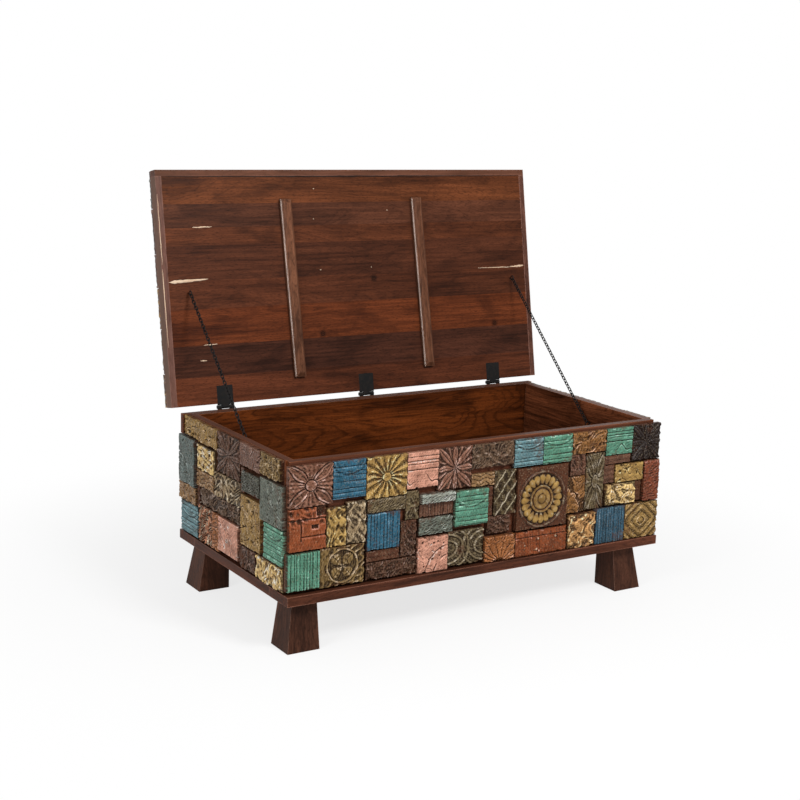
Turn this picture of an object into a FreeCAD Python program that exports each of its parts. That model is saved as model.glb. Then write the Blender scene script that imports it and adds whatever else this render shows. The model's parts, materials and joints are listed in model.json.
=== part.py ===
import FreeCAD, Part
import math
import os

from FreeCAD import Placement, Rotation, Vector

# A trunk coffee table: a wooden box on four flared legs, clad with carved and painted blocks,
# under a hinged lid that two chains hold open. Millimetres, +X along the length, +Y to the back.

# Carcass
carcass_length = 1122.0
carcass_width = 577.0
carcass_height = 324.0
panel_thickness = 20.0
floor_thickness = 15.0
floor_board_count = 4
floor_play = 0.4

# Base frame, which stands out under the cladding
base_thickness = 24.0
base_ledge_ends = 14.0
base_ledge_sides = 26.5
base_rail_width = 95.0

# Legs
leg_height = 126.0
leg_foot_width = 87.5
leg_top_width = 68.0
leg_inset_left = 11.0
leg_inset_right = 36.0
leg_inset_sides = 16.5
leg_screw_spacing = 30.0
leg_screw_radius = 3.0
leg_screw_depth = 38.0
leg_screw_head_radius = 5.5

# Cladding blocks
tile_thickness = 16.0
tile_joint = 1.0
tile_relief = 4.0
proud_step = 1.0
rim_reveal = 6.0
hinge_rail_height = 47.0

# Carving, as shares of the block or of the reed's pitch
reed_pitch = 19.0
reed_flat = 0.44
petal_count = 8
petal_start = 0.2
petal_widest = 0.62
petal_tip = 0.94
petal_half_angle = 17.0
boss_radius = 0.13
boss_sides = 6
medallion_radius = 0.43
medallion_sides = 20
medallion_rim = 0.93
medallion_petals = 20
medallion_petal_start = 0.58
medallion_petal_tip = 0.9
medallion_petal_half_angle = 7.5
medallion_boss_foot = 0.52
medallion_boss_top = 0.44
medallion_boss_rise = 1.3

# Lid
lid_thickness = 30.0
lid_overhang = 25.5
lid_rest_gap = 0.5
lid_lean = 10.3
lipping_width = 17.0
batten_width = 33.0
batten_thickness = 18.0
batten_chamfer = 8.0
batten_ramp = 12.0
batten_spacing = 428.0
batten_skew = 11.0
batten_front_inset = 82.0
batten_back_inset = 55.0

# Butt hinges
hinge_spacing = 445.0
hinge_width = 47.0
hinge_leaf_length = 49.0
hinge_leaf_thickness = 2.5
hinge_leaf_margin = 0.2
knuckle_radius = 5.0
knuckle_middle_width = 22.0
knuckle_gap = 0.5
knuckle_to_lid = 9.0
pin_radius = 2.5
pin_play = 0.05
screw_radius = 1.9
screw_hole_play = 0.25
screw_head_radius = 3.8
screw_depth = 14.0
screw_edge = 8.4
screw_row_near = 14.7
screw_row_far = 35.3
screw_sides = 6

# Chains and their screw eyes
chain_pitch = 10.2
chain_wire = 2.2
chain_inner_width = 3.6
chain_play = 0.25
eye_inner_radius = 5.0
eye_wire = 2.4
eye_sides = 8
eye_stand_off = 11.0
eye_shank_depth = 14.0
eye_plank = 5
eye_from_plank_edge = 44.0
eye_below_rim = 59.0
eye_forward = 45.0

# Derived levels and faces
base_top = leg_height + base_thickness
rim_top = base_top + carcass_height
base_length = carcass_length + 2 * base_ledge_ends
base_width = carcass_width + 2 * base_ledge_sides
inner_length = carcass_length - 2 * panel_thickness
inner_width = carcass_width - 2 * panel_thickness
clad_top = rim_top - rim_reveal
clad_height = clad_top - base_top
lid_bottom = rim_top + lid_rest_gap
lid_top = lid_bottom + lid_thickness
hinge_y = carcass_width / 2 + tile_thickness + knuckle_radius
hinge_z = lid_bottom + knuckle_radius
lid_length = carcass_length + 2 * (tile_thickness + lid_overhang)
lid_back = hinge_y - knuckle_to_lid
lid_front = -(carcass_width / 2 + tile_thickness + lid_overhang)
lid_depth = lid_back - lid_front
hinge_xs = [-hinge_spacing, 0.0, hinge_spacing]
side_signs = {"left": -1, "right": 1}

# Cladding layouts, seen from outside: left, right, top and bottom edge of each block in hundredths
# of the face, its paint, its form and how many steps it stands proud of the usual block. A carved
# block is flat as a plain one is: its shallow carving is surface work.
front_blocks = [
    (0.6, 10.9, 0.5, 33.0, "brown", "flower", 2),
    (10.9, 18.9, 0.5, 30.2, "blue", "reeds_across", 0),
    (18.9, 29.0, 0.5, 33.4, "ochre", "flower", 2),
    (29.0, 37.0, 0.5, 30.0, "pink", "carved", 0),
    (37.0, 45.8, 0.5, 34.6, "brown", "flower", 0),
    (45.8, 57.2, 0.5, 20.8, "brown", "carved", -2),
    (45.8, 52.1, 24.5, 35.6, "ochre", "carved", -2),
    (57.2, 65.2, 0.5, 23.6, "blue", "reeds_across", 0),
    (65.2, 73.5, 0.5, 23.9, "sea_green", "reeds_across", 1),
    (73.5, 83.6, 0.5, 19.2, "ochre", "carved", 0),
    (83.6, 91.5, 0.5, 23.9, "sea_green", "carved", 0),
    (91.5, 100.0, 0.0, 31.5, "brown", "flower", 2),
    (0.9, 9.6, 33.6, 67.0, "red", "carved", -1),
    (9.6, 14.4, 35.8, 67.0, "ochre", "carved", 1),
    (14.4, 19.3, 33.5, 67.0, "olive", "carved", 0),
    (19.5, 29.0, 33.5, 45.2, "olive", "carved", -3),
    (19.3, 27.5, 45.2, 74.5, "blue", "reeds_upright", 2),
    (29.0, 32.5, 31.2, 54.8, "brown", "carved", -3),
    (27.9, 32.0, 55.0, 84.2, "brown", "carved", -3),
    (32.5, 41.2, 34.7, 42.8, "blue", "carved", 10),
    (32.5, 41.3, 43.6, 54.4, "brown", "carved", -4),
    (32.5, 41.3, 55.0, 69.2, "blue", "carved", -2),
    (41.4, 50.2, 36.4, 65.7, "sea_green", "reeds_across", 6),
    (50.3, 52.0, 36.0, 61.5, "brown", "plain", -6),
    (52.1, 58.1, 24.2, 61.7, "olive", "carved", 0),
    (50.5, 57.0, 61.7, 76.8, "brown", "carved", -2),
    (58.2, 72.5, 24.8, 77.4, "brown", "medallion", 4),
    (73.5, 77.9, 19.4, 37.8, "brown", "carved", -3),
    (72.6, 77.9, 38.0, 69.5, "ochre", "carved", 0),
    (77.9, 83.3, 20.0, 68.6, "olive", "flower", 1),
    (83.4, 91.3, 24.2, 31.8, "brown", "plain", -3),
    (83.4, 86.6, 32.1, 48.4, "brown", "plain", -3),
    (86.6, 95.1, 32.7, 48.4, "ochre", "carved", 2),
    (83.8, 92.7, 48.8, 67.3, "cream", "flower", 8),
    (92.8, 95.1, 48.8, 67.3, "brown", "plain", -4),
    (95.2, 100.0, 31.8, 67.8, "red", "carved", 6),
    (0.4, 8.1, 68.0, 97.2, "sea_green", "reeds_upright", 3),
    (8.2, 19.0, 67.4, 98.7, "olive", "carved", 0),
    (19.5, 27.7, 75.2, 84.2, "brown", "plain", -3),
    (19.5, 32.0, 84.6, 98.7, "brown", "carved", -2),
    (32.1, 40.0, 70.8, 99.8, "pink", "carved", 3),
    (40.1, 49.7, 69.5, 98.4, "olive", "carved", 0),
    (49.8, 58.1, 78.6, 99.9, "red", "carved", 5),
    (58.2, 72.8, 78.6, 99.9, "red", "carved", 6),
    (73.0, 81.0, 70.8, 99.9, "cream", "carved", 9),
    (81.1, 89.8, 68.6, 99.9, "blue", "reeds_upright", 7),
    (89.9, 100.0, 68.6, 99.9, "olive", "carved", 8),
]
end_blocks = [
    (0.0, 16.1, -1.8, 14.6, "olive", "carved", -2),
    (16.1, 35.5, -1.8, 15.4, "ochre", "carved", 0),
    (35.5, 58.0, -1.8, 31.6, "brown", "flower", 1),
    (58.2, 77.4, -1.8, 16.6, "brown", "carved", -1),
    (77.5, 95.2, -1.8, 15.6, "ochre", "carved", 0),
    (-3.3, 13.7, 15.2, 55.7, "blue", "carved", 7),
    (14.2, 33.2, 17.0, 38.1, "cream", "carved", 3),
    (14.2, 32.6, 38.3, 52.5, "ochre", "carved", 0),
    (33.3, 59.0, 32.0, 52.5, "olive", "carved", 1),
    (59.2, 62.3, 18.2, 38.7, "brown", "plain", -3),
    (62.4, 79.4, 18.9, 35.2, "olive", "carved", 6),
    (79.5, 100.0, 16.8, 50.3, "blue", "carved", 4),
    (82.6, 100.0, 50.9, 79.2, "sea_green", "reeds_across", 2),
    (60.1, 79.2, 39.3, 79.9, "ochre", "carved", 1),
    (-4.9, 13.6, 56.3, 71.4, "ochre", "carved", 2),
    (13.8, 16.3, 53.0, 71.4, "brown", "plain", -4),
    (17.0, 57.4, 53.1, 67.3, "brown", "carved", -3),
    (-3.4, 15.2, 72.0, 99.1, "blue", "reeds_across", -1),
    (16.4, 30.3, 68.2, 99.1, "red", "carved", 0),
    (30.5, 38.2, 67.6, 99.1, "red", "carved", -1),
    (38.3, 58.0, 67.6, 96.2, "pink", "carved", 2),
    (58.3, 73.8, 81.1, 99.4, "brown", "carved", -1),
    (75.6, 99.7, 80.6, 99.4, "cream", "carved", 3),
]
# The lid's top is laid in courses of plain blocks. Course depths and block lengths are relative.
lid_course_depths = [10, 12, 9, 11, 12, 9]
lid_block_lengths = [[12, 9, 14, 10, 8, 13, 11, 9, 12, 10], [9, 13, 8, 12, 14, 9, 10, 13, 8, 12]]
lid_paints = ["blue", "brown", "ochre", "olive", "red", "brown",
              "sea_green", "cream", "brown", "pink", "olive"]
lid_prouds = [0, 1, -1, 2, 0, -2, 1]
lid_plank_widths = [74, 63, 47, 94, 76, 97, 84, 75]
# The hidden end and the back repeat the layouts as mirror images, with the paints moved on by one and
# all blocks plain.
next_paint = {"blue": "ochre", "ochre": "olive", "olive": "sea_green", "sea_green": "red", "red": "blue",
              "pink": "cream", "cream": "pink", "brown": "brown"}

box_nodes = {}
lid_nodes = {}
groups = {}


def block(low, high):
    """A box between two opposite corners."""
    size = Vector(*high) - Vector(*low)
    return Part.makeBox(size.x, size.y, size.z, Vector(*low))


def flat(points):
    """A flat face inside a closed outline."""
    corners = [Vector(*p) for p in points]
    return Part.Face(Part.makePolygon(corners + corners[:1]))


def prism(points, along):
    """A solid pushed out from a closed flat outline."""
    return flat(points).extrude(Vector(*along))


def enclosed(faces):
    """The solid inside a closed set of faces."""
    shell = Part.makeShell(faces)
    shell.sewShape()
    solid = Part.makeSolid(shell)
    return solid if solid.Volume > 0 else solid.reversed()


def frustum(lower, upper):
    """A tapered solid between two outlines with as many corners."""
    sides = [flat([lower[k - 1], lower[k], upper[k], upper[k - 1]]) for k in range(len(lower))]
    return enclosed([flat(lower), flat(upper)] + sides)


def pyramid(points, peak):
    """A solid that rises from an outline to one point."""
    sides = [flat([points[k - 1], points[k], peak]) for k in range(len(points))]
    return enclosed([flat(points)] + sides)


def rod(radius, start, end):
    """A round rod between two points."""
    axis = Vector(*end) - Vector(*start)
    return Part.makeCylinder(radius, axis.Length, Vector(*start), axis)


def regular(sides, radius, centre, along, across):
    """Corners of a regular outline of the given inner radius about an axis."""
    side = along.cross(across)
    outer = radius / math.cos(math.pi / sides)
    turns = [(2 * k + 1) * math.pi / sides for k in range(sides)]
    return [centre + across * (outer * math.cos(t)) + side * (outer * math.sin(t)) for t in turns]


def countersunk(face, inward, across, radius, head_radius, depth):
    """A screw with a right-angled head that lies flush with a face."""
    neck_level = head_radius - radius
    rim = regular(screw_sides, head_radius, face, inward, across)
    neck = regular(screw_sides, radius, face + inward * neck_level, inward, across)
    return frustum(rim, neck).fuse(prism(neck, inward * (depth - neck_level)))


# Carcass, floor, base frame and legs
def make_carcass():
    half_l = carcass_length / 2
    half_w = carcass_width / 2
    in_l = inner_length / 2
    in_w = inner_width / 2
    box_nodes["front_panel"] = block((-half_l, -half_w, base_top), (half_l, -in_w, rim_top))
    box_nodes["back_panel"] = block((-half_l, in_w, base_top), (half_l, half_w, rim_top))
    box_nodes["left_panel"] = block((-half_l, -in_w, base_top), (-in_l, in_w, rim_top))
    box_nodes["right_panel"] = block((in_l, -in_w, base_top), (half_l, in_w, rim_top))
    width = (inner_width - floor_play) / floor_board_count
    for k in range(floor_board_count):
        y = -in_w + floor_play + k * width
        far = (in_l - floor_play, y + width - floor_play, base_top + floor_thickness)
        box_nodes[f"floor_board_{k + 1}"] = block((-in_l + floor_play, y, base_top), far)


def make_base():
    half_l = base_length / 2
    half_w = base_width / 2
    in_l = half_l - base_rail_width
    in_w = half_w - base_rail_width
    box_nodes["base_rail_front"] = block((-half_l, -half_w, leg_height), (half_l, -in_w, base_top))
    box_nodes["base_rail_back"] = block((-half_l, in_w, leg_height), (half_l, half_w, base_top))
    box_nodes["base_rail_left"] = block((-half_l, -in_w, leg_height), (-in_l, in_w, base_top))
    box_nodes["base_rail_right"] = block((in_l, -in_w, leg_height), (half_l, in_w, base_top))


def square(width, x, y, z):
    h = width / 2
    return [(x - h, y - h, z), (x + h, y - h, z), (x + h, y + h, z), (x - h, y + h, z)]


def make_legs():
    """Four legs that widen to the outside, with upright inner faces. Two screws go down into each."""
    foot_half = leg_foot_width / 2
    flare = (leg_foot_width - leg_top_width) / 2
    reach = base_width / 2 - leg_inset_sides - foot_half
    xs = {"left": -base_length / 2 + leg_inset_left + foot_half,
          "right": base_length / 2 - leg_inset_right - foot_half}
    down = Vector(0, 0, -1)
    across = Vector(1, 0, 0)
    depth = base_thickness + leg_screw_depth
    screws = []
    for row, y in (("front", -reach), ("back", reach)):
        for side, x in xs.items():
            top_x = x - math.copysign(flare, x)
            top_y = y - math.copysign(flare, y)
            foot = square(leg_foot_width, x, y, 0)
            box_nodes[f"leg_{row}_{side}"] = frustum(foot, square(leg_top_width, top_x, top_y, leg_height))
            for offset in (-leg_screw_spacing / 2, leg_screw_spacing / 2):
                face = Vector(top_x + offset, top_y, base_top)
                screws.append(countersunk(face, down, across, leg_screw_radius, leg_screw_head_radius, depth))
    box_nodes["leg_screws"] = Part.makeCompound(screws)


# Cladding blocks. Each is made in its own frame: X across the face, Z up, the face looking along -Y.
def reeded_block(width, height, depth, upright):
    """A block with a row of flat-topped reeds, V grooves between them."""
    run = width if upright else height
    count = max(2, round(run / reed_pitch))
    pitch = run / count
    low = -(depth - tile_relief)
    top = reed_flat * pitch / 2
    edge = [(0, 0), (0, low)]
    for k in range(count):
        middle = (k + 0.5) * pitch
        edge += [(middle - top, -depth), (middle + top, -depth), ((k + 1) * pitch, low)]
    edge += [(run, 0)]
    if upright:
        return prism([(a, b, 0) for a, b in edge], (0, 0, height))
    return prism([(0, b, a) for a, b in edge], (width, 0, 0))


def petal(centre, turn, stops, half_angle, span, plate):
    """A pointed petal with a raised ridge, stretched to the block's own proportions."""
    near, widest, far = stops

    def place(angle, share, rise):
        angle = math.radians(angle)
        return (centre[0] + span[0] * share * math.cos(angle), -(plate + rise),
                centre[1] + span[1] * share * math.sin(angle))

    outline = [place(turn, near, 0), place(turn - half_angle, widest, 0),
               place(turn, far, 0), place(turn + half_angle, widest, 0)]
    return pyramid(outline, place(turn, widest, tile_relief))


def flower_block(width, height, depth):
    """A block with a star of petals around a boss."""
    plate = depth - tile_relief
    base = block((0, -plate, 0), (width, 0, height))
    centre = (width / 2, height / 2)
    outward = Vector(0, -1, 0)
    stops = (petal_start, petal_widest, petal_tip)
    pieces = [petal(centre, (k + 0.5) * 360 / petal_count, stops, petal_half_angle, centre, plate)
              for k in range(petal_count)]
    middle = Vector(centre[0], -plate, centre[1])
    boss = regular(boss_sides, boss_radius * min(width, height), middle, outward, Vector(1, 0, 0))
    return base.multiFuse(pieces + [prism(boss, outward * tile_relief)])


def medallion_block(width, height, depth):
    """A square block with a raised ring of petals around a stepped boss."""
    plate = depth - tile_relief
    base = block((0, -plate, 0), (width, 0, height))
    centre = (width / 2, height / 2)
    radius = medallion_radius * min(width, height)
    outward = Vector(0, -1, 0)
    middle = Vector(centre[0], -plate, centre[1])

    def circle(share, rise):
        return regular(medallion_sides, share * radius, middle + outward * rise, outward, Vector(1, 0, 0))

    rise = outward * tile_relief
    rim = prism(circle(1, 0), rise).cut(prism(circle(medallion_rim, 0), rise))
    boss_rise = medallion_boss_rise * tile_relief
    boss = frustum(circle(medallion_boss_foot, 0), circle(medallion_boss_top, boss_rise))
    widest = (medallion_petal_start + medallion_petal_tip) / 2
    stops = (medallion_petal_start, widest, medallion_petal_tip)
    pieces = [rim, boss]
    for k in range(medallion_petals):
        turn = 360 * k / medallion_petals
        pieces.append(petal(centre, turn, stops, medallion_petal_half_angle, (radius, radius), plate))
    return base.multiFuse(pieces)


def cladding_block(form, width, height, depth):
    if form == "reeds_across":
        return reeded_block(width, height, depth, False)
    if form == "reeds_upright":
        return reeded_block(width, height, depth, True)
    if form == "flower":
        return flower_block(width, height, depth)
    if form == "medallion":
        return medallion_block(width, height, depth)
    return block((0, -depth, 0), (width, 0, height))


def add_block(name, edges, form, proud, seat):
    """Places one block, given by its edges on the face, on the face's own frame."""
    left, right, low, high = edges
    depth = tile_thickness + proud * proud_step
    solid = cladding_block(form, right - left - tile_joint, high - low - tile_joint, depth)
    corner = Vector(left + tile_joint / 2, 0, low + tile_joint / 2)
    solid.Placement = seat.multiply(Placement(corner, Rotation()))
    groups.setdefault(name, []).append(solid)


def clad_face(layout, width, height, turn, corner, repeats):
    """Lays a layout on an upright face. The corner is the face's lower left one, seen from outside. A face
    that repeats another is its mirror image in other paints."""
    seat = Placement(Vector(*corner), Rotation(Vector(0, 0, 1), turn))
    for left, right, top, bottom, paint, form, proud in layout:
        if repeats:
            left, right = 100 - right, 100 - left
            paint = next_paint[paint]
            form = "plain"
        across = [left * width / 100, right * width / 100]
        up = [(100 - bottom) * height / 100, (100 - top) * height / 100]
        add_block("box_tiles_" + paint, across + up, form, proud, seat)


def clad_lid():
    seat = Placement(Vector(-lid_length / 2, lid_front, lid_top), Rotation(Vector(1, 0, 0), -90))
    low = 0.0
    count = 0
    for row, depth in enumerate(lid_course_depths):
        high = low + depth * lid_depth / sum(lid_course_depths)
        lengths = lid_block_lengths[row % len(lid_block_lengths)]
        left = 0.0
        for length in lengths:
            right = left + length * lid_length / sum(lengths)
            paint = lid_paints[(4 * count + row) % len(lid_paints)]
            proud = lid_prouds[count % len(lid_prouds)]
            add_block("lid_tiles_" + paint, (left, right, low, high), "plain", proud, seat)
            left = right
            count += 1
        low = high


def make_cladding():
    half_l = carcass_length / 2
    half_w = carcass_width / 2
    end_l = half_l + tile_thickness
    back_height = clad_height - hinge_rail_height
    clad_face(front_blocks, 2 * end_l, clad_height, 0, (-end_l, -half_w, base_top), False)
    clad_face(end_blocks, carcass_width, clad_height, -90, (-half_l, half_w, base_top), False)
    clad_face(end_blocks, carcass_width, clad_height, 90, (half_l, -half_w, base_top), True)
    clad_face(front_blocks, carcass_length, back_height, 180, (half_l, half_w, base_top), True)
    rail_low = base_top + back_height + tile_joint / 2
    box_nodes["hinge_rail"] = block((-end_l, half_w, rail_low), (end_l, half_w + tile_thickness, rim_top))
    clad_lid()
    for name, solids in groups.items():
        nodes = lid_nodes if name.startswith("lid") else box_nodes
        nodes[name] = Part.makeCompound(solids)


# Lid, made closed and turned to its open place at the end
def plank_edge(count):
    """How far back the first planks reach, counted from the front lipping."""
    front = lid_front + lipping_width
    return front + sum(lid_plank_widths[:count]) * (lid_back - front) / sum(lid_plank_widths)


def make_lid():
    half_l = lid_length / 2
    field_l = half_l - lipping_width
    field_front = plank_edge(0)
    lid_nodes["lid_lipping_front"] = block((-half_l, lid_front, lid_bottom), (half_l, field_front, lid_top))
    lid_nodes["lid_lipping_left"] = block((-half_l, field_front, lid_bottom), (-field_l, lid_back, lid_top))
    lid_nodes["lid_lipping_right"] = block((field_l, field_front, lid_bottom), (half_l, lid_back, lid_top))
    last = len(lid_plank_widths)
    for k in range(1, last + 1):
        plank = block((-field_l, plank_edge(k - 1), lid_bottom), (field_l, plank_edge(k), lid_top))
        if k == last:
            plank = plank.cut([hinge_gain(x) for x in hinge_xs])
        lid_nodes[f"lid_plank_{k}"] = plank


def make_battens():
    """Two battens across the planks, a little out of square, with chamfered edges and ramped ends."""
    front = lid_front + batten_front_inset
    back = lid_back - batten_back_inset
    half = batten_width / 2
    low = lid_bottom - batten_thickness
    shoulder = low + batten_chamfer
    for side, sign in side_signs.items():
        x = sign * batten_spacing / 2
        flank = half - batten_chamfer
        section = [(-half, lid_bottom), (-half, shoulder), (-flank, low), (flank, low), (half, shoulder),
                   (half, lid_bottom)]
        bar = prism([(x - batten_skew + a, front, z) for a, z in section], (batten_skew, back - front, 0))
        for end, step in ((front, batten_ramp), (back, -batten_ramp)):
            outline = [(end, low), (end + step, low), (end, shoulder)]
            wedge = [(x - batten_width, y, z) for y, z in outline]
            bar = bar.cut(prism(wedge, (2 * batten_width, 0, 0)))
        lid_nodes[f"batten_{side}"] = bar


# Hinges: the lid leaf lies in a gain in the lid, the other leaf on the back of the hinge rail
def hinge_gain(x):
    half = hinge_width / 2 + hinge_leaf_margin
    front = lid_back - hinge_leaf_length - hinge_leaf_margin
    return block((x - half, front, lid_bottom), (x + half, lid_back, lid_bottom + hinge_leaf_thickness))


def screw_places():
    """Three screws in a triangle on a leaf: across it, then along it from its root."""
    reach = hinge_width / 2 - screw_edge
    return [(-reach, screw_row_near), (reach, screw_row_near), (0.0, screw_row_far)]


def leaf_screw(face, inward, play):
    """A hinge screw or, with play, the hole for it."""
    radius = screw_radius + play
    return countersunk(face, inward, Vector(1, 0, 0), radius, screw_head_radius + play, screw_depth)


def knuckle(x_low, x_high):
    return rod(knuckle_radius, (x_low, hinge_y, hinge_z), (x_high, hinge_y, hinge_z))


def lid_leaf(x, faces):
    half = hinge_width / 2
    middle = knuckle_middle_width / 2
    clear = hinge_y - knuckle_radius - knuckle_gap
    upper = lid_bottom + hinge_leaf_thickness
    plate = block((x - half, lid_back - hinge_leaf_length, lid_bottom), (x + half, clear, upper))
    tongue = block((x - middle, clear, lid_bottom), (x + middle, hinge_y, upper))
    leaf = plate.multiFuse([tongue, knuckle(x - middle, x + middle)])
    holes = [leaf_screw(face, Vector(0, 0, 1), screw_hole_play) for face in faces]
    return leaf.cut(holes + [pin_bore(x, pin_play)]).removeSplitter()


def box_leaf(x, faces):
    half = hinge_width / 2
    middle = knuckle_middle_width / 2 + knuckle_gap
    seat = hinge_y - knuckle_radius
    outer = seat + hinge_leaf_thickness
    plate = block((x - half, seat, rim_top - hinge_leaf_length), (x + half, outer, hinge_z))
    notch = block((x - middle, seat, rim_top), (x + middle, outer, hinge_z))
    sides = [knuckle(x - half, x - middle), knuckle(x + middle, x + half)]
    leaf = plate.cut(notch).multiFuse(sides)
    holes = [leaf_screw(face, Vector(0, -1, 0), screw_hole_play) for face in faces]
    return leaf.cut(holes + [pin_bore(x, 0)]).removeSplitter()


def pin_bore(x, play):
    """The pin is held in the outer knuckles and runs in the middle one."""
    return rod(pin_radius + play, (x - hinge_width, hinge_y, hinge_z), (x + hinge_width, hinge_y, hinge_z))


def make_hinges():
    """Three equal hinges, grouped by kind of piece."""
    back_face = hinge_y - knuckle_radius + hinge_leaf_thickness
    end = hinge_width / 2
    lid_pieces = {"hinge_lid_leaves": [], "hinge_lid_screws": []}
    box_pieces = {"hinge_box_leaves": [], "hinge_box_screws": [], "hinge_pins": []}
    for x in hinge_xs:
        lid_faces = [Vector(x + across, lid_back - along, lid_bottom) for across, along in screw_places()]
        box_faces = [Vector(x + across, back_face, rim_top - along) for across, along in screw_places()]
        lid_pieces["hinge_lid_leaves"].append(lid_leaf(x, lid_faces))
        box_pieces["hinge_box_leaves"].append(box_leaf(x, box_faces))
        pin = rod(pin_radius, (x - end, hinge_y, hinge_z), (x + end, hinge_y, hinge_z))
        box_pieces["hinge_pins"].append(pin)
        lid_pieces["hinge_lid_screws"] += [leaf_screw(face, Vector(0, 0, 1), 0) for face in lid_faces]
        box_pieces["hinge_box_screws"] += [leaf_screw(face, Vector(0, -1, 0), 0) for face in box_faces]
    for nodes, pieces in ((lid_nodes, lid_pieces), (box_nodes, box_pieces)):
        for name, solids in pieces.items():
            nodes[name] = Part.makeCompound(solids)


# Screw eyes and chains
def screw_eye(surface, outward, normal):
    """A ring on a shank. The normal is the ring's own axis."""
    centre = surface + outward * eye_stand_off
    side = centre - normal * (eye_wire / 2)
    outer = regular(eye_sides, eye_inner_radius + eye_wire, side, normal, outward)
    inner = regular(eye_sides, eye_inner_radius, side, normal, outward)
    ring = prism(outer, normal * eye_wire).cut(prism(inner, normal * eye_wire))
    tip = surface - outward * eye_shank_depth
    neck = eye_stand_off - eye_inner_radius - eye_wire / 2
    section = regular(screw_sides, eye_wire / 2, tip, outward, normal)
    return ring.fuse(prism(section, outward * (eye_shank_depth + neck)))


def opened(shape):
    """The lid's pieces, turned from closed to open about the hinge pins."""
    shape.rotate(Vector(0, hinge_y, hinge_z), Vector(1, 0, 0), -(90 + lid_lean))
    return shape


def opened_point(point):
    turn = Rotation(Vector(1, 0, 0), -(90 + lid_lean))
    pivot = Vector(0, hinge_y, hinge_z)
    return pivot + turn.multVec(point - pivot)


def chain_link(centre, along, across, length):
    """One link: a slotted bar with its corners cut, in the plane of its two directions."""
    normal = along.cross(across)
    end = length / 2
    half = chain_inner_width / 2
    slot = [(end, half), (-end, half), (-end, -half), (end, -half)]
    far = end + chain_wire
    wide = half + chain_wire
    rim = [(far, half), (end, wide), (-end, wide), (-far, half)]
    rim += [(-a, -b) for a, b in rim]
    start = centre - normal * (chain_wire / 2)
    bodies = []
    for outline in (rim, slot):
        bodies.append(prism([start + along * a + across * b for a, b in outline], normal * chain_wire))
    return bodies[0].cut(bodies[1])


def make_chains():
    for side, sign in side_signs.items():
        wall = Vector(sign * inner_length / 2, -eye_forward, rim_top - eye_below_rim)
        inward = Vector(-sign, 0, 0)
        low = wall + inward * eye_stand_off
        under = Vector(low.x, plank_edge(eye_plank) - eye_from_plank_edge, lid_bottom)
        lid_nodes[f"lid_eye_{side}"] = screw_eye(under, Vector(0, 0, -1), Vector(1, 0, 0))
        high = opened_point(under + Vector(0, 0, -eye_stand_off))
        along = (low - high).normalize()
        across = Vector(1, 0, 0)
        box_nodes[f"box_eye_{side}"] = screw_eye(wall, inward, along.cross(across))
        hold = eye_inner_radius - chain_play
        taut = (low - high).Length - 2 * hold - chain_play
        count = 2 * round(taut / (2 * chain_pitch))
        pitch = taut / count
        link_length = pitch + chain_play
        links = []
        for k in range(count):
            centre = high + along * (hold + link_length / 2 + k * pitch)
            turned = along.cross(across) if k % 2 else across
            links.append(chain_link(centre, along, turned, link_length))
        box_nodes[f"chain_{side}"] = Part.makeCompound(links)


make_carcass()
make_base()
make_legs()
make_cladding()
make_lid()
make_battens()
make_hinges()
make_chains()

# The origin is on the floor, under the middle of the open trunk's own box.
everything = list(box_nodes.values()) + [opened(shape) for shape in lid_nodes.values()]
reach = Part.makeCompound(everything).BoundBox
centre_y = (reach.YMin + reach.YMax) / 2
os.makedirs("parts", exist_ok=True)
for name, shape in {**box_nodes, **lid_nodes}.items():
    shape.translate(Vector(0, -centre_y, 0))
    shape.exportStep(f"parts/{name}.step")
print("nodes", len(box_nodes) + len(lid_nodes))
print("hinge axis y and z", round(hinge_y - centre_y, 3), round(hinge_z, 3))
print("trunk middle y", round(-centre_y, 3))
print("size", round(reach.XLength, 1), round(reach.YLength, 1), round(reach.ZLength, 1))
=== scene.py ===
# %% [markdown]
# A trunk coffee table, dressed on its CAD frame.
# The real one is a plank box clad with blocks sawn from old carved doors and cots. Its lid stands
# open on two chains. The frame brings every piece at its true place, so this lesson only adds what
# the eye sees: carving, old paint, waxed planks, black iron, and a studio around them.

# %% Load the frame
import json
import math

import bmesh
import bpy
import numpy as np
from mathutils import Matrix, Vector


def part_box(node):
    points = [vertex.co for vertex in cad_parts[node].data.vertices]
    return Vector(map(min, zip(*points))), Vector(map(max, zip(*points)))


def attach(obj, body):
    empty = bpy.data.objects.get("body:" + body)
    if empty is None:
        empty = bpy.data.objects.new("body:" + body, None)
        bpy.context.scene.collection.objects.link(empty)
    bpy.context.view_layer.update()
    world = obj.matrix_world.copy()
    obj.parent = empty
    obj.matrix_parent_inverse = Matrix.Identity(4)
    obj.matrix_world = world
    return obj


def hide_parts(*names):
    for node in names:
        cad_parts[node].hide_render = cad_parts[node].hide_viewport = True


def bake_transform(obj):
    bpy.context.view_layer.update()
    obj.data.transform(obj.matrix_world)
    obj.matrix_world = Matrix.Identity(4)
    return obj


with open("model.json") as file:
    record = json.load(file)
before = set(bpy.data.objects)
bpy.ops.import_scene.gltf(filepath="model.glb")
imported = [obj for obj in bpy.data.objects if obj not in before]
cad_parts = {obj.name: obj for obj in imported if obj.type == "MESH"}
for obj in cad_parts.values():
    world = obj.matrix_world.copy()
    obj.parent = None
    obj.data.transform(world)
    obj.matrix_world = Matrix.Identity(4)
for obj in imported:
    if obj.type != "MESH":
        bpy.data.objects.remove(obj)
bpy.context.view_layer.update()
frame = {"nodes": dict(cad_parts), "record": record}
nodes = frame["nodes"]
MM = 0.001
X, Y, Z = Vector((1, 0, 0)), Vector((0, 1, 0)), Vector((0, 0, 1))

# %% [markdown]
# The camera comes first, so that every later choice is made in the photograph's view. It could be
# turned until it looks right, but straight edges of the box tell where it stood: low, in front of
# the left end, with a long lens and a slight roll.

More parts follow.
